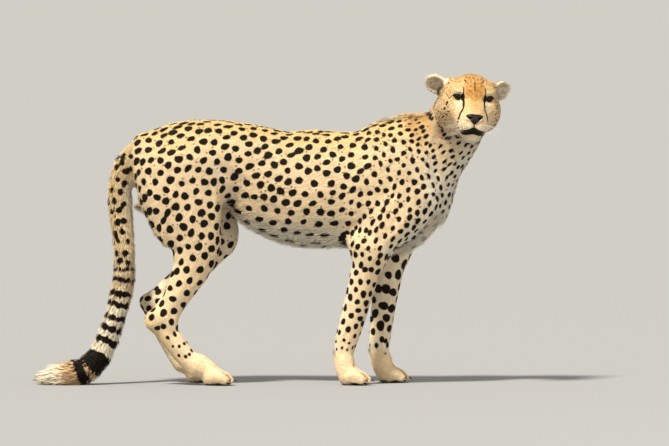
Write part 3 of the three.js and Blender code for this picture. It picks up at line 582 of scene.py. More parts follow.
def coat_material(coat, name, of_tufts):
    """Short dense fur: matt, with a faint sheen at grazing angles. Spots are solid, near black
    and slightly ragged, as single dark hairs lie over pale ones at their edges."""
    fur = Recipe(name, {
        "Roughness": FUR_ROUGHNESS, "IOR": 1.5, "Specular IOR Level": 0.12,
        "Sheen Weight": 0.07, "Sheen Roughness": 0.45, "Sheen Tint": (1.0, 0.93, 0.82),
    })
    place = fur.place()
    lie = fur.field("lie", "Vector")
    field = {key: fur.field(key) for key in CARRIED + (("tone",) if of_tufts else ())}

    # Single hairs are far finer than can show, so streaks stand for small locks of them, about
    # 3 mm wide. They are drawn out along the coat by a mean of places along it.
    streaks = 0.0
    for shift in (-7.0, -3.5, 0.0, 3.5, 7.0):
        moved = fur.add("VectorMath", {"operation": "MULTIPLY_ADD"}, {
            0: lie, 1: (shift * MM,) * 3, 2: place}, 0)
        streaks = fur.times(fur.clouds(moved, 3.2, 1.0), 0.2, streaks)

    ground = coat.flank
    # The fold field, in the specks' brown, holds brown mottling, painted shade in the toe creases
    # and a painted shadow under the jaw.
    for key, colour in (("back", coat.back), ("warm", coat.warm), ("pale", coat.under),
                        ("fold", coat.specks)):
        ground = fur.mix(field[key], ground, colour)

    # Broad patches of slightly deeper and lighter coat, about 60 mm across.
    tone = fur.times(fur.clouds(place, 60, 2.0), 0.22, 0.89)
    tone = fur.times(tone, fur.rise(streaks, 0.36, 0.64, 0.88, 1.08))
    # Tufts bring their own tone, with painted shade at their roots and painted light at their tips.
    if of_tufts:
        tone = fur.times(tone, field["tone"])
    dimmed = fur.add("CombineXYZ", {}, {0: tone, 1: tone, 2: tone}, 0)
    ground = fur.mix(1.0, ground, dimmed, blend_type="MULTIPLY")

    # Faint brown dots between the spots, and finer freckles on the face.
    for key, spacing, radius in (("speck", 17.0, 3.1), ("freckle", 8.5, 2.2)):
        cells = fur.add("TexVoronoi", {}, {
            "Vector": place, "Scale": per_length(spacing), "Randomness": 0.85}, "Distance")
        within = fur.rise(cells, (radius + 1.0) / spacing, (radius - 0.6) / spacing)
        ground = fur.mix(fur.times(within, field[key]), ground, coat.specks)

    # The attribute holds the depth inside a mark's edge in millimetres, and noise frays it.
    fray = fur.clouds(place, 5, 2.0, 0.6)
    for key, frayed, streaked, soft in (("spots", 2.4, 3.0, 1.3), ("lines", 1.8, 0.6, 0.9)):
        depth = fur.times(streaks, streaked, fur.times(fray, frayed, field[key]))
        middle = (frayed + streaked) / 2
        ground = fur.mix(fur.rise(depth, middle - soft, middle + soft), ground, coat.spots)
    # The dark field also holds painted shade inside the ears and at their base.
    for key, colour in (("dark", coat.spots), ("bare", coat.bare)):
        ground = fur.mix(field[key], ground, colour)
    fur.feed("Base Color", ground)
    if not of_tufts:
        # Lips and pads are smooth and a little moist; the rest is matt fur.
        bare = field["bare"]
        fur.feed("Roughness", fur.add("MapRange", {}, {
            0: bare, 3: FUR_ROUGHNESS, 4: LIP_ROUGHNESS}, 0))
        furred = fur.add("MapRange", {}, {0: bare, 3: 1.0, 4: 0.0}, 0)
        fur.bump(fur.times(streaks, furred), 0.75, 2.2)
    return fur.material


def eye_material(face):
    """A wet eye: dark amber iris with fine spokes, a dark edge and a round pupil, under one
    clear glossy layer that carries the highlights."""
    eye = Recipe("wet eye", {
        "Roughness": 0.35, "IOR": 1.36, "Specular IOR Level": 0.1,
        "Coat Weight": 0.7, "Coat Roughness": 0.05, "Coat IOR": 1.34,
    })
    out = eye.field("from_axis")
    fibres = eye.add("TexNoise", {}, {
        "Vector": eye.field("spoke", "Vector"), "Scale": 22.0, "Detail": 3.0}, 0)
    deep = [c * 0.35 for c in face.iris]
    shade = eye.mix(eye.rise(fibres, 0.35, 0.65), deep, face.iris)
    pupil = face.pupil / MM
    for low, high, colour in (
        (pupil + 0.3, pupil - 0.3, 0x050403), (7.6, 9.2, 0x140C07), (10.2, 12.0, 0x2E2018),
    ):
        shade = eye.mix(eye.rise(out, low, high), shade, linear(colour))
    eye.feed("Base Color", shade)
    return eye.material


def leather_material(name, colour, grain, roughness):
    """Bare leathery skin, slightly moist, with pebbles as wide as the grain in millimetres."""
    leather = Recipe(name, {
        "Base Color": colour, "Roughness": roughness, "IOR": 1.45, "Specular IOR Level": 0.35,
        "Coat Weight": 0.1, "Coat Roughness": 0.3,
    })
    pebbles = leather.add("TexVoronoi", {"feature": "SMOOTH_F1"}, {
        "Vector": leather.place(), "Scale": per_length(grain)}, "Distance")
    leather.bump(pebbles, 0.5, 0.5, invert=True)
    return leather.material


def horn_material():
    """Dark dull horn, with paler patches about 2 mm across."""
    horn = Recipe("claw horn", {"Roughness": 0.36, "IOR": 1.54, "Coat Weight": 0.1})
    patches = horn.clouds(horn.place(), 2, 2.0)
    horn.feed("Base Color", horn.mix(patches, linear(0x1D1511), linear(0x54443A)))
    return horn.material


def whisker_material():
    """Stiff white hairs, smooth enough to catch the light along them."""
    return Recipe("whisker hair", {
        "Base Color": linear(0xF4F0E6), "Roughness": 0.34, "IOR": 1.55}).material


def floor_material(colour):
    """Pale matt studio floor without any grain that would draw the eye."""
    return Recipe("pale floor", {
        "Base Color": colour, "Roughness": 0.95, "Specular IOR Level": 0.0}).material


# ------------------------------------------------------------------------------ the skin

APART = ("eye_", "claw_", "dewclaw_")
FILLED = ("eye_left", "eye_right", "nose")
REGIONS = ("trunk", "neck", "head", "ear", "tail", "arm", "forearm", "forepaw", "thigh", "shank",
           "hindpaw")
LEG_REGIONS = {
    "foreleg": {"upper": "arm", "lower": "forearm", "paw": "forepaw"},
    "hindleg": {"upper": "thigh", "lower": "shank", "paw": "hindpaw"},
}

# For each region: how deep the coat is over the skin; length, width and lift of its tufts; the
# area that one tuft covers; and half-length, half-width and spacing of its spots. Lengths are in
# millimetres, areas in square millimetres and lifts in degrees. A spacing of 0 means no spots.
COAT_DEPTH = {
    "trunk": 2.4, "neck": 3.0, "head": 1.6, "ear": 1.4, "tail": 4.6, "arm": 2.2, "forearm": 1.6,
    "forepaw": 1.2, "thigh": 2.5, "shank": 1.7, "hindpaw": 1.2,
}
TUFTS = {
    "trunk": (13, 2.3, 13, 16), "neck": (14, 2.3, 14, 14), "head": (7, 1.4, 14, 7.5),
    "ear": (6.5, 1.4, 17, 4.5), "tail": (22, 2.6, 26, 13), "arm": (11, 2.2, 12, 15),
    "forearm": (9.5, 2.0, 11, 14), "forepaw": (6.5, 1.6, 11, 11), "thigh": (13, 2.3, 13, 17),
    "shank": (10, 2.0, 11, 15), "hindpaw": (6.5, 1.6, 11, 11),
}
SPOTS = {
    "trunk": (11.2, 10.2, 25.5), "neck": (8.0, 5.6, 16.5), "head": (3.2, 2.4, 13),
    "ear": (0, 0, 0), "tail": (0, 0, 0), "arm": (9.6, 7.4, 20), "forearm": (9.4, 8.4, 22),
    "forepaw": (3, 2.6, 18), "thigh": (11.2, 10.6, 26), "shank": (10.6, 9.8, 26),
    "hindpaw": (3, 2.6, 18),
}

# Shares that are added to the length, width and spacing of spots in some places.
SPOT_CHANGES = {
    "shoulder": (-0.36, -0.1, -0.14), "nape": (-0.3, -0.25, -0.25), "foot": (-0.45, -0.45, -0.2),
    "inner wrist": (0.4, 0.5, 0.35), "fold": (-0.4, -0.4, 0.0),
}
# The spots move this many times to the middle of their own ground, which is seen from places
# that stand this many millimetres off the skin, so that both sides of a leg stay apart.
EVENING_ROUNDS = 4
STAND_OFF = 30

# Pale fields on both sides of the head: how pale, the middle, and the radii in head millimetres.
PALE_FACE = (
    (0.8, (24, 43, -17), (17, 12, 13)),     # under the eyes
    (1.0, (52, 20, -76), (26, 22, 15)),     # upper lip
    (1.1, (44, 0, -112), (34, 34, 16)),     # chin
    (0.75, (12, 44, 19), (14, 15, 6)),      # over the eyes
    (0.8, (-60, 88, -20), (20, 12, 14)),    # under the ears
    (0.55, (-14, 58, -84), (50, 30, 26)),   # jaw
    (0.45, (26, 36, -52), (20, 18, 20)),    # cheeks
    (0.8, (-20, 0, -126), (60, 60, 24)),    # throat
)

# How far the nodes of flesh are swollen before they are joined, in millimetres.
SWELLING = 0.9
# How deep the creases between the toes are, in millimetres.
CREASE_DEPTH = 5.4
# How high the skin and its tufts stay over the floor, in millimetres.
SKIN_OVER_FLOOR = 0.6
TUFTS_OVER_FLOOR = 0.4
EARS = {"ear_left": 1, "ear_right": -1}


def flesh_nodes():
    return [n for n in sorted(NODES) if not n.startswith(APART) and n != "nose"]


def region_of(node):
    part, _, rest = node.partition("_")
    if part in LEG_REGIONS:
        return LEG_REGIONS[part][rest.split("_")[1]]
    return "head" if part in ("eye", "nose") else part


def joined_flesh():
    """All flesh nodes in one mesh, each swollen enough to close the thin cuts between them."""
    bm = bmesh.new()
    for name in flesh_nodes() + list(FILLED):
        part = welded(name)
        part.normal_update()
        if name not in FILLED:
            for v in part.verts:
                v.co += v.normal * SWELLING * MM
        mesh = mesh_of("part", part)
        bm.from_mesh(mesh)
        bpy.data.meshes.remove(mesh)
    return mesh_of("flesh", bm)


def changed_by(mesh, kind, settings):
    """The mesh after one modifier."""
    obj = new_object("change", mesh)
    mod = obj.modifiers.new("change", kind)
    for key, value in settings.items():
        setattr(mod, key, value)
    graph = bpy.context.evaluated_depsgraph_get()
    out = bpy.data.meshes.new_from_object(obj.evaluated_get(graph), depsgraph=graph)
    bpy.data.objects.remove(obj)
    return out


def largest_shell(bm):
    """Deletes every shell but the largest."""
    left = set(bm.verts)
    best = set()
    while left:
        stack = [left.pop()]
        shell = set(stack)
        while stack:
            for e in stack.pop().link_edges:
                for v in e.verts:
                    if v not in shell:
                        shell.add(v)
                        left.discard(v)
                        stack.append(v)
        if len(shell) > len(best):
            best = shell
    bmesh.ops.delete(bm, geom=[v for v in bm.verts if v not in best], context="VERTS")


def finer(bm, wanted):
    """Divides each edge of the faces whose middle the test wants."""
    middles = np.array([f.calc_center_median() for f in bm.faces])
    chosen = wanted(middles)
    edges = list({e for f, yes in zip(bm.faces, chosen) if yes for e in f.edges})
    bmesh.ops.subdivide_edges(bm, edges=edges, cuts=1, use_grid_fill=True)


def in_head_or_paws(points):
    x, y, z = to_head(points).T
    head = (x > -112) & (np.abs(y) < 140) & (z > -140) & (z + 0.55 * x > -118)
    bx, _, bz = to_body(points).T
    return head | ((bz < 82) & (bx > -440))


def in_face(points):
    x, y, z = to_head(points).T
    return (x > -22) & (np.abs(y) < 66) & (z > -112) & (z < 26)


def region_shares(points, edges):
    """How much of each vertex belongs to each region, with soft borders."""
    corners, faces, owner = [], [], []
    for name in flesh_nodes() + list(FILLED):
        mesh = NODES[name].data
        start = len(corners)
        corners.extend(v.co[:] for v in mesh.vertices)
        faces.extend([start + i for i in p.vertices] for p in mesh.polygons)
        owner.extend([REGIONS.index(region_of(name))] * len(mesh.polygons))
    tree = BVHTree.FromPolygons(corners, faces)
    owner = np.array(owner)
    nearest = np.array([tree.find_nearest(p)[2] for p in points.tolist()])
    shares = np.eye(len(REGIONS))[owner[nearest]]
    for _ in range(5):
        shares = (shares + 2 * averaged(shares, edges, len(points))) / 3
    return dict(zip(REGIONS, shares.T))


class Places:
    """Where each vertex of the skin is: body and head millimetres, normal, regions, tail arc."""

    def __init__(self, mesh):
        self.world = coords(mesh)
        self.edges = edges_of(mesh)
        self.count = len(self.world)
        self.body = to_body(self.world)
        self.head = to_head(self.world)
        self.normal = normals_of(mesh)
        self.share = region_shares(self.world, self.edges)
        self.tail_arc = along(self.body, TAIL_LINE)[1]

    def blend(self, table, column=None):
        """A value for each vertex from a table of values by region."""
        pick = (lambda row: row) if column is None else (lambda row: row[column])
        return sum(self.share[name] * pick(table[name]) for name in REGIONS)

    def spread(self, values, rounds):
        out = values.reshape(self.count, -1)
        for _ in range(rounds):
            out = (out + averaged(out, self.edges, self.count)) / 2
        return out.reshape(values.shape)

    def ways(self, *parts):
        """A direction for each vertex, from parts that are numbers or arrays."""
        return np.stack([np.broadcast_to(part, self.count) for part in parts], 1).astype(float)


def lie_of(at):
    """The direction in which the coat lies, along the surface."""
    _, y, z = at.body.T
    under = ramp(-0.2, -0.7, at.normal[:, 2])
    low_shank = ramp(215, 165, z)
    span = np.searchsorted(np.cumsum(TAIL_LENGTHS), at.tail_arc)
    span = np.clip(span, 0, len(TAIL_STEPS) - 1)
    from_nose = at.head - (62, 0, -50)
    from_nose[:, 0] *= 1.5
    guide = {
        "trunk": at.ways(-1, 0, -0.42 * (1 - under)),
        "neck": at.ways(-0.8, 0.12 * np.sign(y), -0.75 + 0.2 * under),
        "head": unit(from_nose) @ HEAD_AXES.T,
        "ear": unit(at.ways(-0.4, np.sign(at.head[:, 1]), 0.5)) @ HEAD_AXES.T,
        "tail": unit(TAIL_STEPS)[span],
        "arm": at.ways(-0.35, 0, -1),
        "forearm": at.ways(-0.12, 0, -1),
        "forepaw": at.ways(1, 0, -0.35),
        "thigh": at.ways(-0.5, 0, -1),
        "shank": at.ways(-0.4 + 0.85 * low_shank, 0, -1),
        "hindpaw": at.ways(1, 0, -0.35),
    }
    lie = sum(at.share[name][:, None] * guide[name] for name in REGIONS)
    for _ in range(3):
        lie = at.spread(flattened(lie, at.normal), 2)
    return flattened(lie, at.normal)


def belly(at):
    """1 on the underside of the trunk."""
    return at.share["trunk"] * ramp(-0.25, -0.75, at.normal[:, 2])


def hackle(at):
    """1 along the ridge of rough hair on the nape."""
    x, y, _ = at.body.T
    ridge = ramp(34, 12, np.abs(y)) * ramp(0.3, 0.75, at.normal[:, 2])
    return ridge * ramp(235, 285, x) * ramp(430, 385, x) * (at.share["neck"] + at.share["trunk"])


def ruff(at):
    """1 on the longer hair of cheeks and throat."""
    cheeks = humps(at.head, (-62, 66, -62), (40, 34, 40))
    throat = hump(at.head, (-30, 0, -122), (60, 56, 24))
    return np.clip(cheeks + throat, 0, 1) * (at.share["head"] + at.share["neck"])


def mottling(points, size):
    """Smooth seeded noise from -1 to 1, with patches of about the given size in millimetres."""
    raw = np.array([noise.noise(Vector(p)) for p in (points / size).tolist()])
    return np.clip(2.2 * raw, -1, 1)


def coat_depth(at):
    depth = at.blend(COAT_DEPTH)
    depth = depth + 3.0 * belly(at) + 5.0 * hackle(at) + 1.5 * ruff(at)
    face = humps(at.head, (30, 20, -40), (46, 52, 60))
    depth = depth * (1 - 0.5 * np.clip(face * at.share["head"], 0, 1))
    depth = depth + 3.0 * at.share["tail"] * ramp(600, 680, at.tail_arc)
    resting = ramp(12, 3, at.body[:, 2]) * ramp(-0.3, -0.8, at.normal[:, 2])
    return depth * (1 - resting) + SKIN_OVER_FLOOR * resting


def tail_tuft(arc, fades=(728, 690)):
    """1 on the brown tuft between the black band and the pale tip of the tail."""
    return ramp(612, 626, arc) * ramp(*fades, arc)


def shades(at):
    """How golden, warm and pale the coat is at each vertex, from 0 to 1."""
    x, y, z = at.body.T
    nx, ny, nz = at.normal.T
    share, arc = at.share, at.tail_arc
    torso = share["trunk"] + share["neck"] + share["thigh"] + share["arm"]
    back = torso * ramp(0.15, 0.85, nz) * (0.55 + 0.45 * share["trunk"])
    for patch in (
        0.8 * share["neck"] * ramp(0.0, 0.5, nz),
        0.55 * share["tail"] * ramp(330, 250, arc) * ramp(0.4, -0.4, nx),
        share["shank"] * 0.5 * ramp(0.2, -0.6, nx) * ramp(240, 200, z),
    ):
        back = np.maximum(back, patch)

    hx, hy, hz = at.head.T
    on_head = share["head"] + share["ear"] > 0.02
    patches = np.zeros(at.count)
    patches[on_head] = mottling(at.head[on_head], 7.0)
    beside = np.abs(hy) + 10 * ramp(20, 0, hz) + 4 * ramp(40, 62, hz) + 4 * patches
    brows = ramp(36, 22, beside) * ramp(-4, 16, hz + 4 * patches) * ramp(76, 34, hz + 7 * patches)
    crown = hump(at.head, (-46, 0, 64), (60, 74, 30)) * (0.75 + 0.25 * patches)
    warm = 0.95 * brows * (0.85 + 0.2 * patches) * ramp(-30, -10, hx) + crown
    warm = warm + 0.5 * hump(at.head, (42, 0, -14), (40, 27, 36))
    warm = warm + 0.6 * humps(at.head, (-66, 78, 40), (22, 14, 14))
    back = np.maximum(back, share["head"] * (0.3 + 0.5 * ramp(-60, 10, hz) + 0.12 * patches))
    tuft = share["tail"] * tail_tuft(arc)
    warm = warm * share["head"] + 0.5 * share["neck"] * ramp(0.2, 0.7, nz) * ramp(250, 330, x)
    warm = warm + 0.55 * tuft

    inner = ramp(0.15, 0.7, -ny * np.sign(y))
    legs = share["arm"] + share["forearm"] + share["thigh"] + share["shank"]
    chest = (share["trunk"] + share["neck"] + share["arm"]) * ramp(0.1, 0.6, nx)
    pale = 0.9 * belly(at) + share["trunk"] * 0.3 * ramp(500, 420, z) * ramp(0.3, -0.3, nz)
    pale = pale + 1.1 * chest * ramp(700, 560, z)
    pale = pale + share["neck"] * 0.55 * ramp(0.0, -0.6, nz) + 0.45 * legs * inner
    pale = pale + 0.6 * share["forearm"] * ramp(-0.35, -0.8, nx)
    pale = pale + 0.75 * share["thigh"] * ramp(-0.5, -0.9, nx) * inner
    pale = pale + 0.15 * (share["forearm"] + share["shank"]) * ramp(150, 60, z)
    tail = ramp(0.1, 0.7, nx) * ramp(230, 60, arc) + 0.85 * ramp(380, 450, arc)
    pale = pale + share["tail"] * np.clip(tail, 0, 1) * (1 - 0.8 * tuft)
    face = sum(amount * humps(at.head, middle, radii) for amount, middle, radii in PALE_FACE)
    pale = pale + face * (share["head"] + share["neck"]) + 0.75 * share["ear"]
    warm = warm * (1 - 0.8 * np.clip(face, 0, 1))
    return tuple(np.clip(v, 0, 1) for v in (back, warm, pale))


def face_lines(at, skin):
    """Depth inside the dark lines of the face; negative outside them. The finished skin's places
    in the head's frame say where a line runs across and up the face."""
    near = at.head[:, 0] > -30
    points = np.column_stack([at.head[:, 0], skin[:, 1:]])[near]
    depth = np.full(at.count, -20.0)
    best = np.full(len(points), -20.0)
    for lines, sides in ((FACE_LINES, (1, -1)), (MIDDLE_LINES, (1,))):
        for line, half in lines:
            for side in sides:
                curve = rounded(line, closed=False, per=4) * (1, side, 1)
                gap, _ = along(points * (0.3, 1, 1), curve * (0.3, 1, 1))
                best = np.maximum(best, half - gap)
    for y, z in WHISKER_ROWS:
        gap = np.hypot(np.abs(points[:, 1]) - y, points[:, 2] - z)
        best = np.maximum(best, np.where(points[:, 0] > 10, 1.3 - gap, -20.0))
    depth[near] = best
    return depth


def mouth_and_lips(at):
    """Depth inside the mouth's dark outline, and where skin is bare."""
    front = (at.head[:, 0] > 2) & (at.head[:, 2] < -60)
    depth = np.full(at.count, -20.0)
    depth[front] = depth_in(at.head[front][:, 1:], MOUTH)
    inside = ramp(-0.8, 0.8, depth) * ramp(2, 14, at.head[:, 0])
    pads = (at.share["forepaw"] + at.share["hindpaw"]) * ramp(-0.55, -0.85, at.normal[:, 2])
    pads = pads * ramp(16, 9, at.body[:, 2])
    return depth, np.clip(inside + pads, 0, 1)


def ear_distance(points, name, rootwards=0.0):
    """How far points are from an ear's middle, in shares of half its diagonal, or from a place
    that lies the given share of the way to its root."""
    middle = node_middle(name)
    root = from_head((-80, EARS[name] * 40, -20))
    return np.linalg.norm(points - (middle + (root - middle) * rootwards), axis=1) / node_size(name)


def darkness(at):
    """Broad dark patches: the black backs of the ears, a ring of the tail and the tuft behind the
    wrist; and painted shade deep inside each ear and in the hollow at its base.
    """
    front = at.normal @ HEAD_AXES[:, 0]
    ears = 0.0
    for name in EARS:
        away = ear_distance(at.world, name)
        deep = ear_distance(at.world, name, 0.4)
        # The back of each ear is black; its inside darkens towards the root as painted shade.
        ears = ears + (ramp(0.84, 0.52, away) * ramp(0.35, -0.05, front)
                       + 0.85 * ramp(0.5, 0.15, deep) * ramp(0.1, 0.6, front))
    # Painted shade in the hollow where each ear meets the head.
    painted_ear_base_shade = humps(at.head, (-68, 88, 10), (22, 9, 18)) * 1.3
    tail = at.share["tail"] * 0.35 * ramp(330, 345, at.tail_arc) * ramp(378, 362, at.tail_arc)
    ears = ears * at.share["ear"] + painted_ear_base_shade * (at.share["head"] + at.share["ear"])
    return np.clip(ears + tail + 0.9 * wrist_tuft(at), 0, 1)


def brown_mottling_and_jaw_shadow(at):
    """Soft brown patches on the face, the crown, the ears and the tuft of the tail, and a painted
    shadow on the neck under the jaw."""
    out = np.zeros(at.count)
    on_head = (at.share["head"] + at.share["ear"] > 0.02) | (np.linalg.norm(at.head, axis=1) < 180)
    head = at.head[on_head]
    fine = ramp(0.0, 0.8, mottling(head, 4.2))
    coarse = ramp(-0.1, 0.8, mottling(head + 50, 9.0))
    crown = hump(head, (-40, 0, 62), (56, 66, 26))
    brow = humps(head, (10, 16, 30), (30, 20, 24))
    cheeks = ramp(-5, -40, head[:, 0]) * ramp(40, 64, np.abs(head[:, 1]))
    muzzle = humps(head, (50, 18, -78), (30, 34, 30))
    amount = 0.13 + 0.24 * fine * (1 - muzzle) + 0.8 * fine * crown + 0.4 * fine * brow
    amount = amount + 0.2 * coarse * cheeks
    # A painted shadow on the neck under the jaw, where the head would shade it.
    painted_jaw_shadow = humps(head, (-88, 64, -100), (50, 40, 30)) * at.share["neck"][on_head]
    out[on_head] = amount * (1 - 0.8 * muzzle) * at.share["head"][on_head] + 0.75 * painted_jaw_shadow

    tail = at.share["tail"] > 0.02
    locks = 0.35 + 0.3 * mottling(at.body[tail] * (0.3, 1, 1), 6.0)
    out[tail] += locks * tail_tuft(at.tail_arc[tail], (722, 680)) * at.share["tail"][tail]

    ears = at.share["ear"] > 0.02
    hairs = ramp(-0.3, 0.7, mottling(at.head[ears] * (1, 1, 0.5), 4.0))
    inside = sum(ramp(0.66, 0.42, ear_distance(at.world[ears], name)) for name in EARS)
    front = ramp(0.1, 0.6, at.normal[ears] @ HEAD_AXES[:, 0])
    out[ears] += (0.05 + 0.5 * hairs) * inside * front * at.share["ear"][ears]
    return out


def toe_creases(at):
    """1 along the creases between the toes, on top and in front. They are cut into the skin, and
    the coat along them is darkened as painted shade.
    """
    out = np.zeros(at.count)
    for x, y, heading in PAWS:
        turn = radians(heading)
        gap = at.body[:, :2] - (x, y)
        ahead = gap @ (cos(turn), sin(turn))
        beside = gap @ (-sin(turn), cos(turn))
        near = (np.linalg.norm(gap - (50, 0), axis=1) < 75) & (at.body[:, 2] < 60)
        fan = 0.62 + 0.38 * ramp(34, 76, ahead)
        for crease in TOE_CREASES:
            line = np.exp(-((beside - crease * fan) / 2.9) ** 2) * ramp(*TOE_REACH, ahead)
            out = np.maximum(out, line * near * ramp(-0.4, 0.1, at.normal[:, 2]))
    return out * (at.share["forepaw"] + at.share["hindpaw"])


def wrist_tuft(at):
    """1 on the dark tuft over the small pad behind each wrist."""
    return sum(
        hump(at.body, (x - 10, y, 90), (15, 13, 15)) for x, y, _ in PAWS[:2]
    ) * at.share["forearm"]


def spot_sizes(at):
    """Half-length, half-width and spacing of the spots at each vertex, and 1 in tight folds."""
    x, y, z = at.body.T
    _, ny, nz = at.normal.T
    share = at.share
    sizes = np.stack([at.blend(SPOTS, k) for k in range(3)])
    spine = share["trunk"] * ramp(0.72, 0.95, nz)
    under = belly(at)
    sizes[0] *= 1 + 0.18 * spine + 0.2 * under
    sizes[1] *= 1 - 0.30 * spine - 0.35 * under
    sizes[2] *= 1 - 0.16 * spine + 0.5 * under
    dip = ((averaged(at.world, at.edges, at.count) - at.world) * at.normal).sum(1) / MM
    foot = share["forearm"] * ramp(170, 110, z) + share["shank"] * ramp(190, 120, z)
    places = {
        "shoulder": share["trunk"] * ramp(170, 270, x) * (1 - spine),
        "nape": share["neck"] * ramp(0.55, 0.85, nz),
        "foot": np.clip(foot, 0, 1),
        "inner wrist": share["forearm"] * ramp(0.2, 0.7, -ny * np.sign(y)),
        "fold": (ramp(0.08, 0.3, at.spread(dip, 3))
                 * (share["trunk"] + share["arm"] + share["thigh"])),
    }
    for name, changes in SPOT_CHANGES.items():
        sizes *= 1 + np.outer(changes, places[name])
    return (*sizes, places["fold"])


def spotless(at):
    """Where no such spots grow: on the face, feet and heels, and on the ears and the tail."""
    nx, _, nz = at.normal.T
    hx, hy, hz = at.head.T
    height = at.body[:, 2]
    share = at.share
    return (
        (share["ear"] + share["tail"] > 0.35)
        | ((hx > -34) & (share["head"] > 0.4) & (np.abs(hy) < 66))
        | ((share["head"] > 0.5) & (hz > 22) & (hx > -46))
        | ((nz < -0.6) & (height < 30))
        | ((share["shank"] > 0.5) & (height < 185) & (nx < -0.35))
        | (share["forepaw"] + share["hindpaw"] > 0.5)
    )


def throw_spots(at, lie, rng):
    """Seeded places for spots, each at least its own spacing from the ones before it."""
    length, width, spacing, fold = spot_sizes(at)
    allowed = ~(spotless(at) | (fold > 0.5) | (spacing < 4))
    tree = tree_of(at.body)
    free = allowed.copy()
    chosen = []
    for i in rng.permutation(np.nonzero(allowed)[0]):
        if not free[i]:
            continue
        chosen.append(i)
        near = np.array([j for _, j, _ in tree.find_range(at.body[i].tolist(), spacing[i])])
        free[near[at.normal[near] @ at.normal[i] > -0.2]] = False
    chosen = evened(at, np.array(chosen), np.nonzero(allowed)[0], tree)
    sway = rng.uniform(0.82, 1.16, (len(chosen), 2))
    spots = [
        (at.body[i], at.normal[i], lie[i], length[i] * sway[k, 0], width[i] * sway[k, 1])
        for k, i in enumerate(chosen)
    ]
    return spots + tail_pairs(at, lie, tree, rng), tree


def evened(at, chosen, allowed, tree):
    """Moves each chosen vertex to the middle of its own ground, a few times, so that the spots
    stand about evenly. Places seen from opposite sides of a thin part don't count together."""
    lifted = at.body + at.normal * STAND_OFF
    for _ in range(EVENING_ROUNDS):
        owners = tree_of(lifted[chosen])
        owner = np.array([owners.find(p)[1] for p in lifted[allowed].tolist()])
        count = np.maximum(np.bincount(owner, minlength=len(chosen)), 1)[:, None]
        middle = np.stack([
            np.bincount(owner, at.body[allowed][:, k], len(chosen)) for k in range(3)], 1) / count
        chosen = np.array([
            min(tree.find_n(p, 12), key=lambda hit: gap_to(at, hit[1], i, p))[1]
            for i, p in zip(chosen, middle.tolist())])
    return chosen


def gap_to(at, vertex, before, place):
    """How far a vertex is from a place; far when it faces away from the vertex before it."""
    away = np.linalg.norm(at.body[vertex] - place)
    return away if at.normal[vertex] @ at.normal[before] > 0.2 else away + 1000


def tail_pairs(at, lie, tree, rng):
    """Rows of spots round the tail's outer half."""
    out = []
    starts = np.concatenate([[0], np.cumsum(TAIL_LENGTHS)])
    for k, arc in enumerate(TAIL_PAIRS):
        span = np.searchsorted(starts, arc) - 1
        step = TAIL_STEPS[span]
        middle = TAIL_LINE[span] + step * (arc - starts[span]) / TAIL_LENGTHS[span]
        tangent = unit(step)
        outer = unit(np.cross(tangent, (0, 1, 0)))
        outer = outer if outer[0] < 0 else -outer
        for turn in (-112, -62, 0, 62, 112) if k % 2 else (-88, -32, 32, 88):
            turn = radians(turn + rng.uniform(-9, 9))
            way = outer * cos(turn) + np.array((0, 1, 0)) * sin(turn)
            beside = middle + way * TAIL_REACH + tangent * rng.uniform(-7, 7)
            i = tree.find(beside.tolist())[1]
            length, width = rng.uniform(7.5, 10.5), rng.uniform(8, 12)
            out.append((at.body[i], at.normal[i], lie[i], length, width))
    return out


def spot_depth(at, spots, tree, rng):
    """How far inside the nearest spot each vertex lies, in millimetres; negative outside."""
    depth = np.full(at.count, -20.0)
    for centre, normal, lie, length, width in spots:
        reach = max(length, width) * 1.3 + 11
        near = np.array([j for _, j, _ in tree.find_range(centre.tolist(), reach)])
        near = near[at.normal[near] @ normal > 0.15]
        gap = at.body[near] - centre
        u = gap @ lie / length
        v = gap @ np.cross(normal, lie) / width
        turn = np.arctan2(v, u)
        a, b = rng.uniform(0, 6.28, 2)
        lobes = 1 + 0.07 * np.sin(2 * turn + a) + 0.05 * np.sin(3 * turn + b)
        value = (1 - np.hypot(u, v) * lobes) * min(length, width)
        depth[near] = np.maximum(depth[near], value)
    wobble = 2.5 * np.sin(at.body[:, 1] * 0.21 + 1.0) + 1.5 * np.sin(at.body[:, 0] * 0.33)
    ringed = at.share["tail"] > 0.5
    wobble[ringed] += 3.5 * mottling(at.body[ringed] * (1, 1, 0.3), 5.0)
    for arc, half in TAIL_RINGS:
        ring = half - np.abs(at.tail_arc - arc + wobble)
        depth = np.where(ringed, np.maximum(depth, ring), depth)
    return depth


def shaped_lids(head):
    """Draws the skin round each eyeball into an upper and a lower lid."""
    out = head.copy()
    for side in (1, -1):
        centre, axes = eye_frame(side)
        place = (out - centre) @ axes.T
        near = (np.linalg.norm(place, axis=1) < 44) & (place[:, 0] > -6)
        p = place[near]
        gap = -depth_in(p[:, 1:], LIDS)
        length = np.linalg.norm(p, axis=1)
        above = ramp(-2, 5, p[:, 2])
        reach = 13.0 - 4.5 * above
        lid = EYE_RADIUS + 0.9 + 1.5 * ramp(0.5, 4.5, gap) + 1.1 * above * ramp(3, 7, gap)
        hold = (1 - ramp(4.5, reach, gap)) * ramp(0, 5, p[:, 0])
        new = np.where(gap < 0, EYE_RADIUS - 3.0, length + (lid - length) * hold)
        crease = 1.0 * np.exp(-((gap - 6.5) / 1.6) ** 2) * ramp(0, 5, p[:, 0])
        p = p * ((new - crease) / np.maximum(length, 1e-6))[:, None]
        place[near] = p
        out[near] = place[near] @ axes + centre
    return out


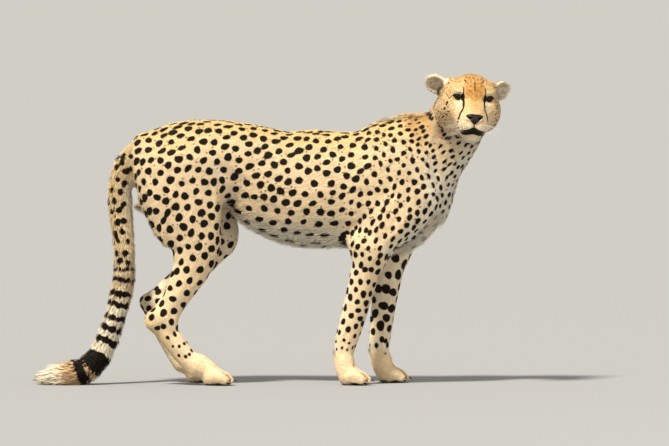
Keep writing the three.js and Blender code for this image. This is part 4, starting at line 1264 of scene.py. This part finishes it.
def shaped_face(at, points, mouth):
    """Cuts the mouth, the groove under the nose and the tear troughs, and lifts the lips."""
    x, y, z = at.head.T
    out = points.copy()
    front = np.array((1.0, 0, 0))
    gap = ramp(3.0, 9.0, mouth)
    lips = np.exp(-((mouth - 1.2) / 2.4) ** 2) * (x > 5)
    out += (-3.5 * gap + 0.7 * lips)[:, None] * front
    groove = np.exp(-(y / 1.7) ** 2) * ramp(-60, -66, z) * ramp(-78, -73, z) * ramp(45, 52, x)
    out -= (1.5 * groove)[:, None] * front
    pads = humps(at.head, (56, 17, -71), (18, 13, 9)) * (mouth < 0)
    out += (1.6 * pads)[:, None] * front
    tears = np.full(at.count, 60.0)
    near = (x > 0) & (np.abs(y) < 60)
    for side in (1, -1):
        tear, _ = along(at.head[near], rounded(TEAR_LINE, closed=False, per=4) * (1, side, 1))
        tears[near] = np.minimum(tears[near], tear)
    out -= (0.8 * np.exp(-(tears / 3.0) ** 2))[:, None] * (at.normal @ HEAD_AXES)
    brow = humps(at.head, (16, 42, 21), (12, 18, 6.0))
    out += (3.0 * brow)[:, None] * front
    return out


def body_surface(grain):
    """The flesh as one even mesh, calmed where its solids meet and finer on head and paws."""
    mesh = changed_by(joined_flesh(), "REMESH", {"mode": "VOXEL", "voxel_size": grain})
    edit(mesh, largest_shell)
    points = coords(mesh)
    head = to_head(points)
    calm = ramp(-60, -150, head[:, 0]) + ramp(150, 200, np.linalg.norm(head, axis=1))
    calm = np.clip(calm, 0, 1) * (0.06 + 0.94 * ramp(70, 130, to_body(points)[:, 2]))
    set_coords(mesh, smoothed(points, edges_of(mesh), 0.15 + 0.85 * calm, 60))
    edit(mesh, lambda bm: finer(bm, in_head_or_paws), lambda bm: finer(bm, in_face))
    points = coords(mesh)
    set_coords(mesh, smoothed(points, edges_of(mesh), np.full(len(points), 1.0), 6))
    return mesh


def freckled(at, bare):
    """1 where the head has fine freckles: on cheeks, jaw and crown, and not on the lips."""
    x, y, z = at.head.T
    beside = ramp(-8, -30, x) + ramp(52, 64, np.abs(y)) + ramp(28, 44, z)
    return at.share["head"] * np.clip(beside, 0, 1) * (1 - bare)


def specked(at):
    """1 where faint dots stand between the spots: on the body, and not on the belly."""
    body = at.share["trunk"] + at.share["thigh"] + at.share["arm"] + at.share["neck"]
    return np.clip(body, 0, 1) * (1 - belly(at))


class CHEETAH_OT_skin(bpy.types.Operator):
    """Make the one skin that covers the whole body, with its lids, mouth and markings"""

    bl_idname = "cheetah.skin"
    bl_label = "Skin"

    def execute(self, context):
        settings = context.scene.cheetah_skin
        rng = np.random.default_rng(settings.seed)
        mesh = body_surface(settings.grain)
        at = Places(mesh)
        lie = lie_of(at)
        mouth, bare = mouth_and_lips(at)
        toes = toe_creases(at)
        back, warm, pale = shades(at)
        spots, tree = throw_spots(at, lie, rng)
        # Besides the black marks, the dark field holds painted shade inside the ears and at their
        # base. The fold field holds brown mottling, painted shade along the toe creases and a
        # painted shadow under the jaw.
        fields = {
            "spots": spot_depth(at, spots, tree, rng), "back": back, "warm": warm, "pale": pale,
            "bare": bare, "dark": darkness(at), "freckle": 0.85 * freckled(at, bare),
            "speck": 0.75 * specked(at), "lie": lie, "belly": belly(at), "hackle": hackle(at),
            "ruff": ruff(at), "wrist": wrist_tuft(at),
            "fold": np.clip(0.9 * toes + brown_mottling_and_jaw_shadow(at), 0, 1),
        }
        fields.update({"in_" + name: at.share[name] for name in REGIONS})

        inward = unit(at.spread(at.normal, 3))
        points = at.world - inward * (coat_depth(at) + CREASE_DEPTH * toes)[:, None] * MM
        head = shaped_lids(shaped_face(at, to_head(points), mouth))
        fields["lines"] = face_lines(at, head)
        for name, values in fields.items():
            keep(mesh, name, values)
        points = np.where((at.head[:, 0] > -40)[:, None], from_head(head), points)
        points[:, 2] = np.maximum(points[:, 2], SKIN_OVER_FLOOR * MM)
        set_coords(mesh, points)
        skin = new_object("skin", mesh)
        mesh.shade_smooth()
        unwrap(skin)
        finish_piece(skin, "coat", coat_material(context.scene.cheetah_coat, "short fur", False),
                     *flesh_nodes())
        print("skin", len(mesh.vertices), "vertices", len(mesh.polygons), "faces",
              len(spots), "spots")
        return {"FINISHED"}


def unwrap(obj):
    """Gives the skin its own unwrap, by which its colours and those of the tufts can be baked."""
    obj.data.uv_layers.new(name="OFBake")
    bpy.context.view_layer.objects.active = obj
    obj.select_set(True)
    bpy.ops.object.mode_set(mode="EDIT")
    bpy.ops.mesh.select_all(action="SELECT")
    bpy.ops.uv.smart_project(angle_limit=radians(66), island_margin=0.001)
    bpy.ops.object.mode_set(mode="OBJECT")
    obj.select_set(False)


# ------------------------------------------------------------------------------ the coat

# Corners of a tuft, as (along, across, above) in shares of its length, width and thickness.
# Its root is a triangle, it bends once, and it ends in a point.
TUFT_SIDES = np.array([(-1, 0), (1, 0), (0, 1)], float)
TUFT_QUADS = [(0, 1, 4, 3), (1, 2, 5, 4), (2, 0, 3, 5)]
TUFT_ENDS = [(3, 4, 6), (4, 5, 6), (5, 3, 6), (0, 2, 1)]
# The same corners in the tuft's patch of the bake map, in shares of the patch's size.
TUFT_PATCH = np.array([
    (-0.5, -0.5), (0.5, -0.5), (0.0, -0.25), (-0.4, 0.1), (0.4, 0.1), (0.0, 0.25), (0.0, 0.5)])
PATCH_SIZE = 0.003
CARRIED = (
    "spots", "lines", "back", "warm", "pale", "dark", "bare", "freckle", "speck", "fold",
)


class Surface:
    """The skin's triangles, and what the skin knows at any place near them."""

    def __init__(self, mesh):
        mesh.calc_loop_triangles()
        triangles = mesh.loop_triangles
        self.corners = read(triangles, "vertices", 3, np.int32)
        self.loops = read(triangles, "loops", 3, np.int32)
        self.area = read(triangles, "area")
        self.points, self.normals = coords(mesh), normals_of(mesh)
        self.tree = BVHTree.FromPolygons(self.points.tolist(), self.corners.tolist())

    def nearest(self, places):
        """For each place, the corners of the nearest triangle and how much each one counts."""
        found = [self.tree.find_nearest(p)[::2] for p in places.tolist()]
        corners = self.corners[np.array([f[1] for f in found])]
        spot = np.array([f[0][:] for f in found])
        a, b, c = (self.points[corners[:, k]] for k in range(3))
        whole = np.cross(b - a, c - a)
        size = np.maximum((whole * whole).sum(1), 1e-20)
        at_b = (np.cross(spot - a, c - a) * whole).sum(1) / size
        at_c = (np.cross(b - a, spot - a) * whole).sum(1) / size
        return corners, np.clip(np.column_stack([1 - at_b - at_c, at_b, at_c]), 0, 1)


def weighed(values, corners, weight):
    """Values of the vertices, between the corners of triangles."""
    taken = values[corners]
    return (taken * (weight if values.ndim == 1 else weight[:, :, None])).sum(1)


def tuft_plan(points, normals, shares, fields):
    """For each vertex of the skin, how long, wide and lifted its tufts are, and how many grow on
    a square millimetre."""
    arc = along(to_body(points), TAIL_LINE)[1]
    length, width, lift, cover = (
        sum(shares[name] * TUFTS[name][k] for name in REGIONS) for k in range(4))
    tip = shares["tail"] * ramp(560, 660, arc)
    head = to_head(points)
    in_ear = shares["ear"] * ramp(0.1, 0.6, normals @ HEAD_AXES[:, 0])
    face = humps(head, (34, 16, -34), (40, 48, 56)) * shares["head"]
    back_of_thigh = shares["thigh"] * ramp(-0.55, -0.9, normals[:, 0])
    length = length * (1 + 1.1 * fields["belly"] + 0.9 * fields["hackle"] + 1.1 * fields["ruff"]
                       + 0.6 * tip + 0.5 * in_ear + 0.35 * back_of_thigh + 1.1 * fields["wrist"]
                       - 0.42 * face)
    lift = lift + (16 * fields["belly"] + 26 * fields["hackle"] + 9 * fields["ruff"] + 6 * tip
                   + 4 * in_ear + 8 * back_of_thigh + 34 * fields["wrist"])
    width = width * (1 - 0.2 * face + 0.15 * tip)
    cover = cover * (1 - 0.3 * face)
    growth = (1 - ramp(0.25, 0.6, fields["bare"])) / np.maximum(cover, 1.0)
    growth = growth * ~((depth_in(head[:, 1:], NOSE) > -1.2) & (head[:, 0] > 30))
    for side in (1, -1):
        centre, axes = eye_frame(side)
        place = (head - centre) @ axes.T
        shut = (depth_in(place[:, 1:], LIDS) > -3.2) & (place[:, 0] > 0) & (place[:, 0] < 34)
        growth = growth * ~shut
    return length, width, lift, growth


class Roots:
    """Places on the skin where tufts may grow, with all that the skin knows there."""

    def __init__(self, skin, amount, seed):
        mesh = skin.data
        surface = Surface(mesh)
        shares = {name: kept(mesh, "in_" + name) for name in REGIONS}
        fields = {name: kept(mesh, name) for name in CARRIED + ("belly", "hackle", "ruff", "wrist")}
        length, width, lift, growth = tuft_plan(surface.points, surface.normals, shares, fields)
        wanted = growth[surface.corners].mean(1) * surface.area / (MM * MM) * amount
        rng = np.random.default_rng(seed + 1)
        total = np.cumsum(wanted) + rng.random()
        number = np.diff(np.floor(total), prepend=0.0).astype(int)
        pick = np.repeat(np.arange(len(number)), np.maximum(number, 0))
        self.count = len(pick)
        spread = rng.random((self.count, 2))
        flip = spread.sum(1) > 1
        spread[flip] = 1 - spread[flip]
        self.weight = np.column_stack([1 - spread.sum(1), spread])
        self.corners = surface.corners[pick]
        uv = read(mesh.uv_layers["OFBake"].data, "uv", 2, np.float32)[surface.loops[pick]]
        self.uv = (uv * self.weight[:, :, None]).sum(1)
        self.place = self.at(surface.points)
        self.normal = unit(self.at(surface.normals))
        self.lie = self.at(kept(mesh, "lie"))
        self.length, self.width, self.lift = self.at(length), self.at(width), self.at(lift)
        self.share = {name: self.at(shares[name]) for name in REGIONS}
        self.surface, self.known = surface, fields
        self.on_left = self.place[:, 1] > BODY_SHIFT[1] * MM
        self.foreleg = self.share["arm"] + self.share["forearm"] + self.share["forepaw"] > 0.5
        self.hindleg = self.share["thigh"] + self.share["shank"] + self.share["hindpaw"] > 0.5

    def at(self, values):
        """Values of the vertices, at the roots."""
        return weighed(values, self.corners, self.weight)


def tuft_mesh(name, roots, chosen, scale):
    """One mesh of solid bent blades at the chosen roots."""
    rng = np.random.default_rng(len(name) * 101 + len(chosen))
    count = len(chosen)
    normal = roots.normal[chosen]
    lie = flattened(roots.lie[chosen], normal)
    across = np.cross(normal, lie)
    turn = rng.normal(0, 0.17, count)[:, None]
    lie, across = (lie * np.cos(turn) + across * np.sin(turn),
                   across * np.cos(turn) - lie * np.sin(turn))
    length = (roots.length[chosen] * rng.uniform(0.7, 1.15, count) * scale * MM)[:, None]
    width = (roots.width[chosen] * rng.uniform(0.75, 1.2, count) * MM / 2)[:, None]
    lift = np.radians(roots.lift[chosen] * rng.uniform(0.5, 1.35, count))[:, None]
    first = lie * np.cos(lift * 1.35) + normal * np.sin(lift * 1.35)
    second = lie * np.cos(lift * 0.55) + normal * np.sin(lift * 0.55)
    root = roots.place[chosen] - normal * 0.6 * MM
    bend = root + first * length * 0.45
    end = bend + second * length * 0.55
    points = np.empty((count, 7, 3))
    for k, (side, above) in enumerate(TUFT_SIDES):
        points[:, k] = root + across * width * side * 0.8 + normal * width * above * 0.5
        points[:, 3 + k] = bend + across * width * side + normal * width * above * 0.6
    points[:, 6] = end
    points[:, :, 2] = np.maximum(points[:, :, 2], TUFTS_OVER_FLOOR * MM)
    start = np.arange(count)[:, None] * 7
    faces = [start[:, None] + np.array(TUFT_QUADS), start[:, None] + np.array(TUFT_ENDS)]
    mesh = mesh_from(name, points.reshape(-1, 3), [f.reshape(-1, f.shape[2]) for f in faces])
    stations = [
        (roots.corners[chosen], roots.weight[chosen]),
        roots.surface.nearest(bend), roots.surface.nearest(end),
    ]
    for field in CARRIED:
        low, high, tip = (weighed(roots.known[field], *station) for station in stations)
        keep(mesh, field, np.column_stack([low] * 3 + [high] * 3 + [tip]).ravel())
    soft = unit(np.stack([normal + across * side * 0.7 for side, _ in TUFT_SIDES], 1))
    soft = np.concatenate([soft, soft, normal[:, None]], axis=1).reshape(-1, 3)
    mesh.normals_split_custom_set_from_vertices(soft)
    keep(mesh, "lie", np.repeat(lie, 7, axis=0))
    # Each tuft has a random tone. Its root is darkened as painted shade, and its tip is lightened a
    # little as painted light.
    tone = rng.uniform(0.88, 1.06, count)[:, None] * np.array([0.9] * 3 + [1.0] * 3 + [1.03])
    keep(mesh, "tone", tone.ravel())
    corner = read(mesh.loops, "vertex_index", 1, np.int32)
    uv = roots.uv[chosen][corner // 7] + TUFT_PATCH[corner % 7] * PATCH_SIZE
    mesh.uv_layers.new(name="OFBake").data.foreach_set("uv", uv.astype(np.float32).ravel())
    return mesh


COAT_PIECES = {
    "coat_trunk_left": lambda r: (r.share["trunk"] > 0.5) & r.on_left,
    "coat_trunk_right": lambda r: (r.share["trunk"] > 0.5) & ~r.on_left,
    "coat_neck": lambda r: r.share["neck"] >= 0.5,
    "coat_head": lambda r: r.share["head"] + r.share["ear"] > 0.5,
    "coat_tail": lambda r: r.share["tail"] > 0.5,
    "coat_foreleg_left": lambda r: r.foreleg & r.on_left,
    "coat_foreleg_right": lambda r: r.foreleg & ~r.on_left,
    "coat_hindleg_left": lambda r: r.hindleg & r.on_left,
    "coat_hindleg_right": lambda r: r.hindleg & ~r.on_left,
}


class CHEETAH_OT_coat(bpy.types.Operator):
    """Cover the skin with short solid tufts that lie along the body"""

    bl_idname = "cheetah.coat"
    bl_label = "Coat"

    def execute(self, context):
        settings = context.scene.cheetah_coat
        skin = bpy.data.objects["skin"]
        roots = Roots(skin, settings.amount, context.scene.cheetah_skin.seed)
        material = coat_material(settings, "fur tufts", True)
        left = np.ones(roots.count, bool)
        for name, belongs in COAT_PIECES.items():
            chosen = left & belongs(roots)
            if name == "coat_neck":
                chosen = chosen | (left & (sum(test(roots) for test in COAT_PIECES.values()) == 0))
            left &= ~chosen
            mesh = tuft_mesh(name, roots, np.nonzero(chosen)[0], settings.length)
            finish_piece(new_object(name, mesh), "coat", material)
            print(name, int(chosen.sum()), "tufts", int(chosen.sum()) * 10, "triangles")
        return {"FINISHED"}


# ------------------------------------------------------------------------------ eyes and face


class CHEETAH_OT_eyes(bpy.types.Operator):
    """Make both eyeballs, and the dark rims of their lids"""

    bl_idname = "cheetah.eyes"
    bl_label = "Eyes"

    def execute(self, context):
        face = context.scene.cheetah_face
        eye = eye_material(face)
        rim = leather_material("lid rim", linear(0x120C09), 1.2, 0.42)
        for side, name in ((1, "left"), (-1, "right")):
            ball = new_object("eyeball_" + name, self.eyeball(side, "eyeball_" + name))
            finish_piece(ball, "eye", eye, "eye_" + name)
            lids = new_object("lid_rim_" + name, self.lid_rim(side, "lid_rim_" + name))
            finish_piece(lids, "coat", rim)
        return {"FINISHED"}

    def eyeball(self, side, name):
        rings, around = 44, 56
        centre, _ = eye_frame(side)
        gaze = radians(5)
        forward = unit(np.array((cos(gaze), side * sin(gaze), -0.04)))
        outward = unit(np.cross((0, 0, 1), forward))
        upward = np.cross(forward, outward)
        points, from_axis, spokes = [], [], []
        for i in range(rings + 1):
            angle = np.pi * (i / rings) ** 1.25
            out = EYE_RADIUS * sin(angle)
            bulge = 1.5 * max(0.0, 1 - (out / 10.5) ** 2) if angle < 1.4 else 0.0
            radius = EYE_RADIUS - 0.2 + bulge
            for k in range(around if 0 < i < rings else 1):
                turn = 2 * np.pi * k / around
                way = outward * cos(turn) + upward * sin(turn)
                points.append(centre + radius * (forward * cos(angle) + way * sin(angle)))
                from_axis.append(out if angle < 1.5 else 18.0)
                spokes.append((cos(turn), sin(turn), out * 0.02))
        k = np.arange(around)
        nxt = (k + 1) % around
        last = len(points) - 1
        last_ring = last - around
        caps = np.concatenate([
            np.column_stack([np.zeros(around, int), 1 + k, 1 + nxt]),
            np.column_stack([np.full(around, last), last_ring + nxt, last_ring + k])])
        mesh = mesh_from(name, from_head(points), [grid_quads(rings - 1, around) + 1, caps])
        keep(mesh, "from_axis", from_axis)
        keep(mesh, "spoke", spokes)
        return mesh

    def lid_rim(self, side, name):
        """A dark leathery bead all round the eye opening, pointed at the tear duct."""
        centre, axes = eye_frame(side)
        loop = rounded(LID_OUTLINE, closed=True, per=9)
        tangent = unit(np.roll(loop, -1, axis=0) - np.roll(loop, 1, axis=0))
        outwards = np.column_stack([-tangent[:, 1], tangent[:, 0]])
        outwards *= -np.sign((outwards * (loop.mean(0) - loop)).sum(1).mean())
        sides = 10
        rows = []
        corner = np.exp(-((loop - (-12.8, -2.4)) ** 2).sum(1) / 14)
        for k in range(sides):
            turn = 2 * np.pi * k / sides
            upper = ramp(1, 6, loop[:, 1])
            wide = 1.5 + 0.8 * corner + 1.0 * upper
            flat = loop + outwards * (1.3 + 0.5 * corner + 0.6 * upper + wide * cos(turn))[:, None]
            high = EYE_RADIUS + 1.0 + 0.4 * upper + 1.2 * sin(turn)
            forward = np.sqrt(np.maximum(high ** 2 - (flat ** 2).sum(1), 9.0))
            rows.append(np.column_stack([forward, flat]) @ axes + centre)
        points = np.stack(rows, 1).reshape(-1, 3)
        quads = grid_quads(len(loop), sides, closed=True)
        return mesh_from(name, from_head(points), [quads if side > 0 else quads[:, ::-1]])


class CHEETAH_OT_nose(bpy.types.Operator):
    """Make the nose leather with its nostrils, and seat it in the skin"""

    bl_idname = "cheetah.nose"
    bl_label = "Nose leather"

    def execute(self, context):
        tree = skin_surface()
        loop = NOSE
        count = len(loop)
        middle = np.array((0.0, -48.0))
        shares = np.linspace(0, 1, 26)[1:] ** 0.85
        flat = np.array([middle] + [middle + (p - middle) * s for s in shares for p in loop])
        inside = np.maximum(depth_in(flat, loop), 0)
        height = []
        for y, z in flat:
            place = hit_face(tree, y, z)
            height.append(60.0 if place is None else place[0])
        height = np.array(height)
        side, up = np.abs(flat[:, 0]), flat[:, 1]
        nostril = np.exp(-((side - 13.5) / 4.6) ** 2 - ((up + 47.5) / 3.4) ** 2)
        slope = (side - 18) * 0.25
        slit = np.exp(-((side - 19.5) / 5.0) ** 2 - ((up + 46.5 + slope) / 1.9) ** 2)
        hole = np.clip(nostril + 0.75 * slit, 0, 1)
        wing = np.exp(-((side - 13.5) / 7.0) ** 2 - ((up + 40.5) / 3.4) ** 2)
        groove = np.exp(-(flat[:, 0] / 1.1) ** 2) * ramp(-42, -50, up)
        front = height + 1.5 * ramp(0, 3.5, inside) - 1.0 - 9.0 * hole + 1.2 * wing - 0.9 * groove
        back = height - 12.0
        points = np.concatenate([
            np.column_stack([front, flat]),
            np.column_stack([back, flat * (0.96, 1.0)])])
        k = np.arange(count)
        nxt = (k + 1) % count
        centre = np.column_stack([np.zeros(count, int), 1 + k, 1 + nxt])
        rings = grid_quads(len(shares), count) + 1
        half = len(flat)
        rim = half - count
        wall = np.column_stack([rim + k, half + rim + k, half + rim + nxt, rim + nxt])
        faces = [np.concatenate([centre, (centre + half)[:, ::-1]]),
                 np.concatenate([rings, (rings + half)[:, ::-1], wall])]
        mesh = mesh_from("nose_leather", from_head(points), faces)
        edit(mesh, lambda bm: bmesh.ops.recalc_face_normals(bm, faces=bm.faces))
        colour = context.scene.cheetah_face.nose
        finish_piece(new_object("nose_leather", mesh), "nose_leather",
                     leather_material("nose leather", colour, 1.4, 0.52), "nose")

        skin = bpy.data.objects["skin"].data
        points = coords(skin)
        head = to_head(points)
        under = ramp(1.5, 4.5, depth_in(head[:, 1:], loop)) * (head[:, 0] > 35)
        set_coords(skin, points - (under * 10.5 * MM)[:, None] * HEAD_AXES[:, 0])
        return {"FINISHED"}


class CHEETAH_OT_whiskers(bpy.types.Operator):
    """Grow stiff white whiskers on the muzzle and over the eyes"""

    bl_idname = "cheetah.whiskers"
    bl_label = "Whiskers"

    def execute(self, context):
        tree = skin_surface()
        rng = np.random.default_rng(context.scene.cheetah_skin.seed + 2)
        wanted = context.scene.cheetah_face.whiskers
        points, faces = [], []
        start = 0
        for side in (1, -1):
            for n in range(wanted):
                y, z = WHISKER_ROWS[(n * 5 + 1) % len(WHISKER_ROWS)]
                row = (-61 - z) / 4.6
                way = np.array((0.32 - 0.008 * y, side, -0.05 - 0.14 * row))
                length = rng.uniform(40, 72)
                start = self.hair(tree, rng, side * y, z, way, length, points, faces, start)
            for n in range(3):
                y, way = side * (40 + 5 * n), np.array((0.5, side * (0.25 + 0.2 * n), 0.9))
                length = rng.uniform(20, 30)
                start = self.hair(tree, rng, y, 22, way, length, points, faces, start)
        mesh = mesh_from("whiskers", from_head(np.concatenate(points)), faces)
        finish_piece(new_object("whiskers", mesh), "coat", whisker_material())
        return {"FINISHED"}

    def hair(self, tree, rng, y, z, way, length, points, faces, start):
        """Adds one tapered solid hair that droops towards its tip."""
        place = hit_face(tree, y, z)
        if place is None:
            return start
        way = way / np.linalg.norm(way) + rng.normal(0, 0.06, 3)
        stations, sides = 9, 5
        t = np.linspace(0, 1, stations)[:, None]
        line = place - way * 2 + way * length * t
        line = line + np.array((-0.10, 0, -0.22)) * length * t ** 2
        step = unit(np.gradient(line, axis=0))
        a = unit(np.cross(step, (0.3, 0.2, 1.0)))
        b = np.cross(step, a)
        thick = 0.30 * (1 - 0.85 * t)
        turn = 2 * np.pi * np.arange(sides) / sides
        rows = [line + (a * cos(r) + b * sin(r)) * thick for r in turn]
        points.append(np.stack(rows, 1).reshape(-1, 3))
        quads = grid_quads(stations, sides)[:, [0, 3, 2, 1]]
        last = (stations - 1) * sides
        ring = np.arange(sides)
        caps = [(ring[::-1] + start)[None], (ring + last + start)[None]]
        faces.extend([quads + start, *caps])
        return start + stations * sides


class CHEETAH_OT_claws(bpy.types.Operator):
    """Make the blunt dark claws on all toes, and the dewclaws"""

    bl_idname = "cheetah.claws"
    bl_label = "Claws"

    def execute(self, context):
        horn = horn_material()
        for name in sorted(NODES):
            if not name.startswith(("claw_", "dewclaw_")):
                continue
            bm = welded(name)
            middle = sum((v.co for v in bm.verts), Vector()) / len(bm.verts)
            for v in bm.verts:
                v.co = middle + (v.co - middle) * 1.12
                v.co.z = max(v.co.z, 0.3 * MM)
            mesh = changed_by(mesh_of(name, bm), "SUBSURF", {"levels": 2, "render_levels": 2})
            mesh.shade_smooth()
            finish_piece(new_object("horn_" + name, mesh), "claw", horn, name)
        return {"FINISHED"}


# ------------------------------------------------------------------------------ the stage

SUN_COLOUR = (1.0, 0.93, 0.80)
ROOM_COLOUR = (1.0, 0.962, 0.885)
FILL_COLOUR = (1.0, 0.97, 0.92)
# Lamps stand here and point there, in metres. For the sun only the direction counts.
SUN_PLACE = (-2.1, -3.0, 5.9)
FILL_PLACE = (4.5, -5.0, 2.2)
FILL_AIM = (0.2, 0, 0.5)
# The camera looks at this place of the body, in millimetres.
LOOKED_AT = (125.0, 0.0, 451.0)
SENSOR_WIDTH = 36.0
FLOOR_SIZE = 900


def lamp(name, kind, place, aim, settings):
    data = bpy.data.lights.new(name, kind)
    for key, value in settings.items():
        setattr(data, key, value)
    obj = new_object(name, data)
    obj.location = place
    obj.rotation_euler = (Vector(aim) - Vector(place)).to_track_quat("-Z", "Y").to_euler()


def lay_floor(stage):
    """The floor sends back as much light as the room behind it, so that no horizon shows."""
    bpy.ops.mesh.primitive_plane_add(size=FLOOR_SIZE)
    floor = bpy.context.object
    floor.name = "floor"
    slant = SUN_PLACE[2] / np.linalg.norm(SUN_PLACE)
    sun = np.array(SUN_COLOUR) * stage.sun * slant / np.pi
    room = np.array(ROOM_COLOUR) * stage.room
    floor.data.materials.append(floor_material(tuple(room / (sun + room))))


def light_room(scene, stage):
    """The even light of a pale room all round."""
    world = bpy.data.worlds.new("pale room")
    world.use_nodes = True
    sky = world.node_tree.nodes["Background"]
    sky.inputs["Color"].default_value = (*ROOM_COLOUR, 1)
    sky.inputs["Strength"].default_value = stage.room
    scene.world = world


def place_camera(scene, stage):
    middle = Vector(from_body(LOOKED_AT))
    away = Vector((0.0, -cos(stage.elevation), sin(stage.elevation))) * stage.distance
    data = bpy.data.cameras.new("camera")
    data.sensor_width = SENSOR_WIDTH
    data.lens = SENSOR_WIDTH * stage.distance / stage.view_width
    data.clip_end = 1000.0
    camera = new_object("camera", data)
    camera.location = middle + away
    camera.rotation_euler = (-away).to_track_quat("-Z", "Y").to_euler()
    scene.camera = camera


class CHEETAH_OT_stage(bpy.types.Operator):
    """Set up the floor, the soft lights and the camera"""

    bl_idname = "cheetah.stage"
    bl_label = "Stage"

    def execute(self, context):
        scene = context.scene
        stage = scene.cheetah_stage
        lay_floor(stage)
        light_room(scene, stage)
        place_camera(scene, stage)
        scene.view_settings.view_transform = "Standard"
        lamp("key", "SUN", SUN_PLACE, (0, 0, 0),
             {"energy": stage.sun, "angle": radians(8), "color": SUN_COLOUR})
        lamp("fill", "AREA", FILL_PLACE, FILL_AIM,
             {"shape": "DISK", "size": 3.0, "energy": 55, "color": FILL_COLOUR})
        return {"FINISHED"}


# ------------------------------------------------------------------------------ the panel

STEPS = ("stage", "skin", "nose", "eyes", "whiskers", "claws", "coat")
GROUPS = {
    "cheetah_skin": CheetahSkin, "cheetah_coat": CheetahCoat, "cheetah_face": CheetahFace,
    "cheetah_stage": CheetahStage,
}


class CHEETAH_PT_sidebar(bpy.types.Panel):
    bl_label = "Cheetah"
    bl_idname = "CHEETAH_PT_sidebar"
    bl_space_type = "VIEW_3D"
    bl_region_type = "UI"
    bl_category = "Cheetah"

    def draw(self, context):
        for group in GROUPS:
            box = self.layout.box()
            settings = getattr(context.scene, group)
            for name in settings.__annotations__:
                box.prop(settings, name)
        for step in STEPS:
            self.layout.operator("cheetah." + step)


CLASSES = (
    *GROUPS.values(), CHEETAH_OT_skin, CHEETAH_OT_nose, CHEETAH_OT_eyes, CHEETAH_OT_whiskers,
    CHEETAH_OT_claws, CHEETAH_OT_coat, CHEETAH_OT_stage, CHEETAH_PT_sidebar,
)


def register():
    for cls in CLASSES:
        bpy.utils.register_class(cls)
    for name, cls in GROUPS.items():
        setattr(bpy.types.Scene, name, bpy.props.PointerProperty(type=cls))


def unregister():
    for name in GROUPS:
        delattr(bpy.types.Scene, name)
    for cls in reversed(CLASSES):
        bpy.utils.unregister_class(cls)


def main():
    register()
    for step in STEPS:
        getattr(bpy.ops.cheetah, step)()


if __name__ == "__main__":
    main()
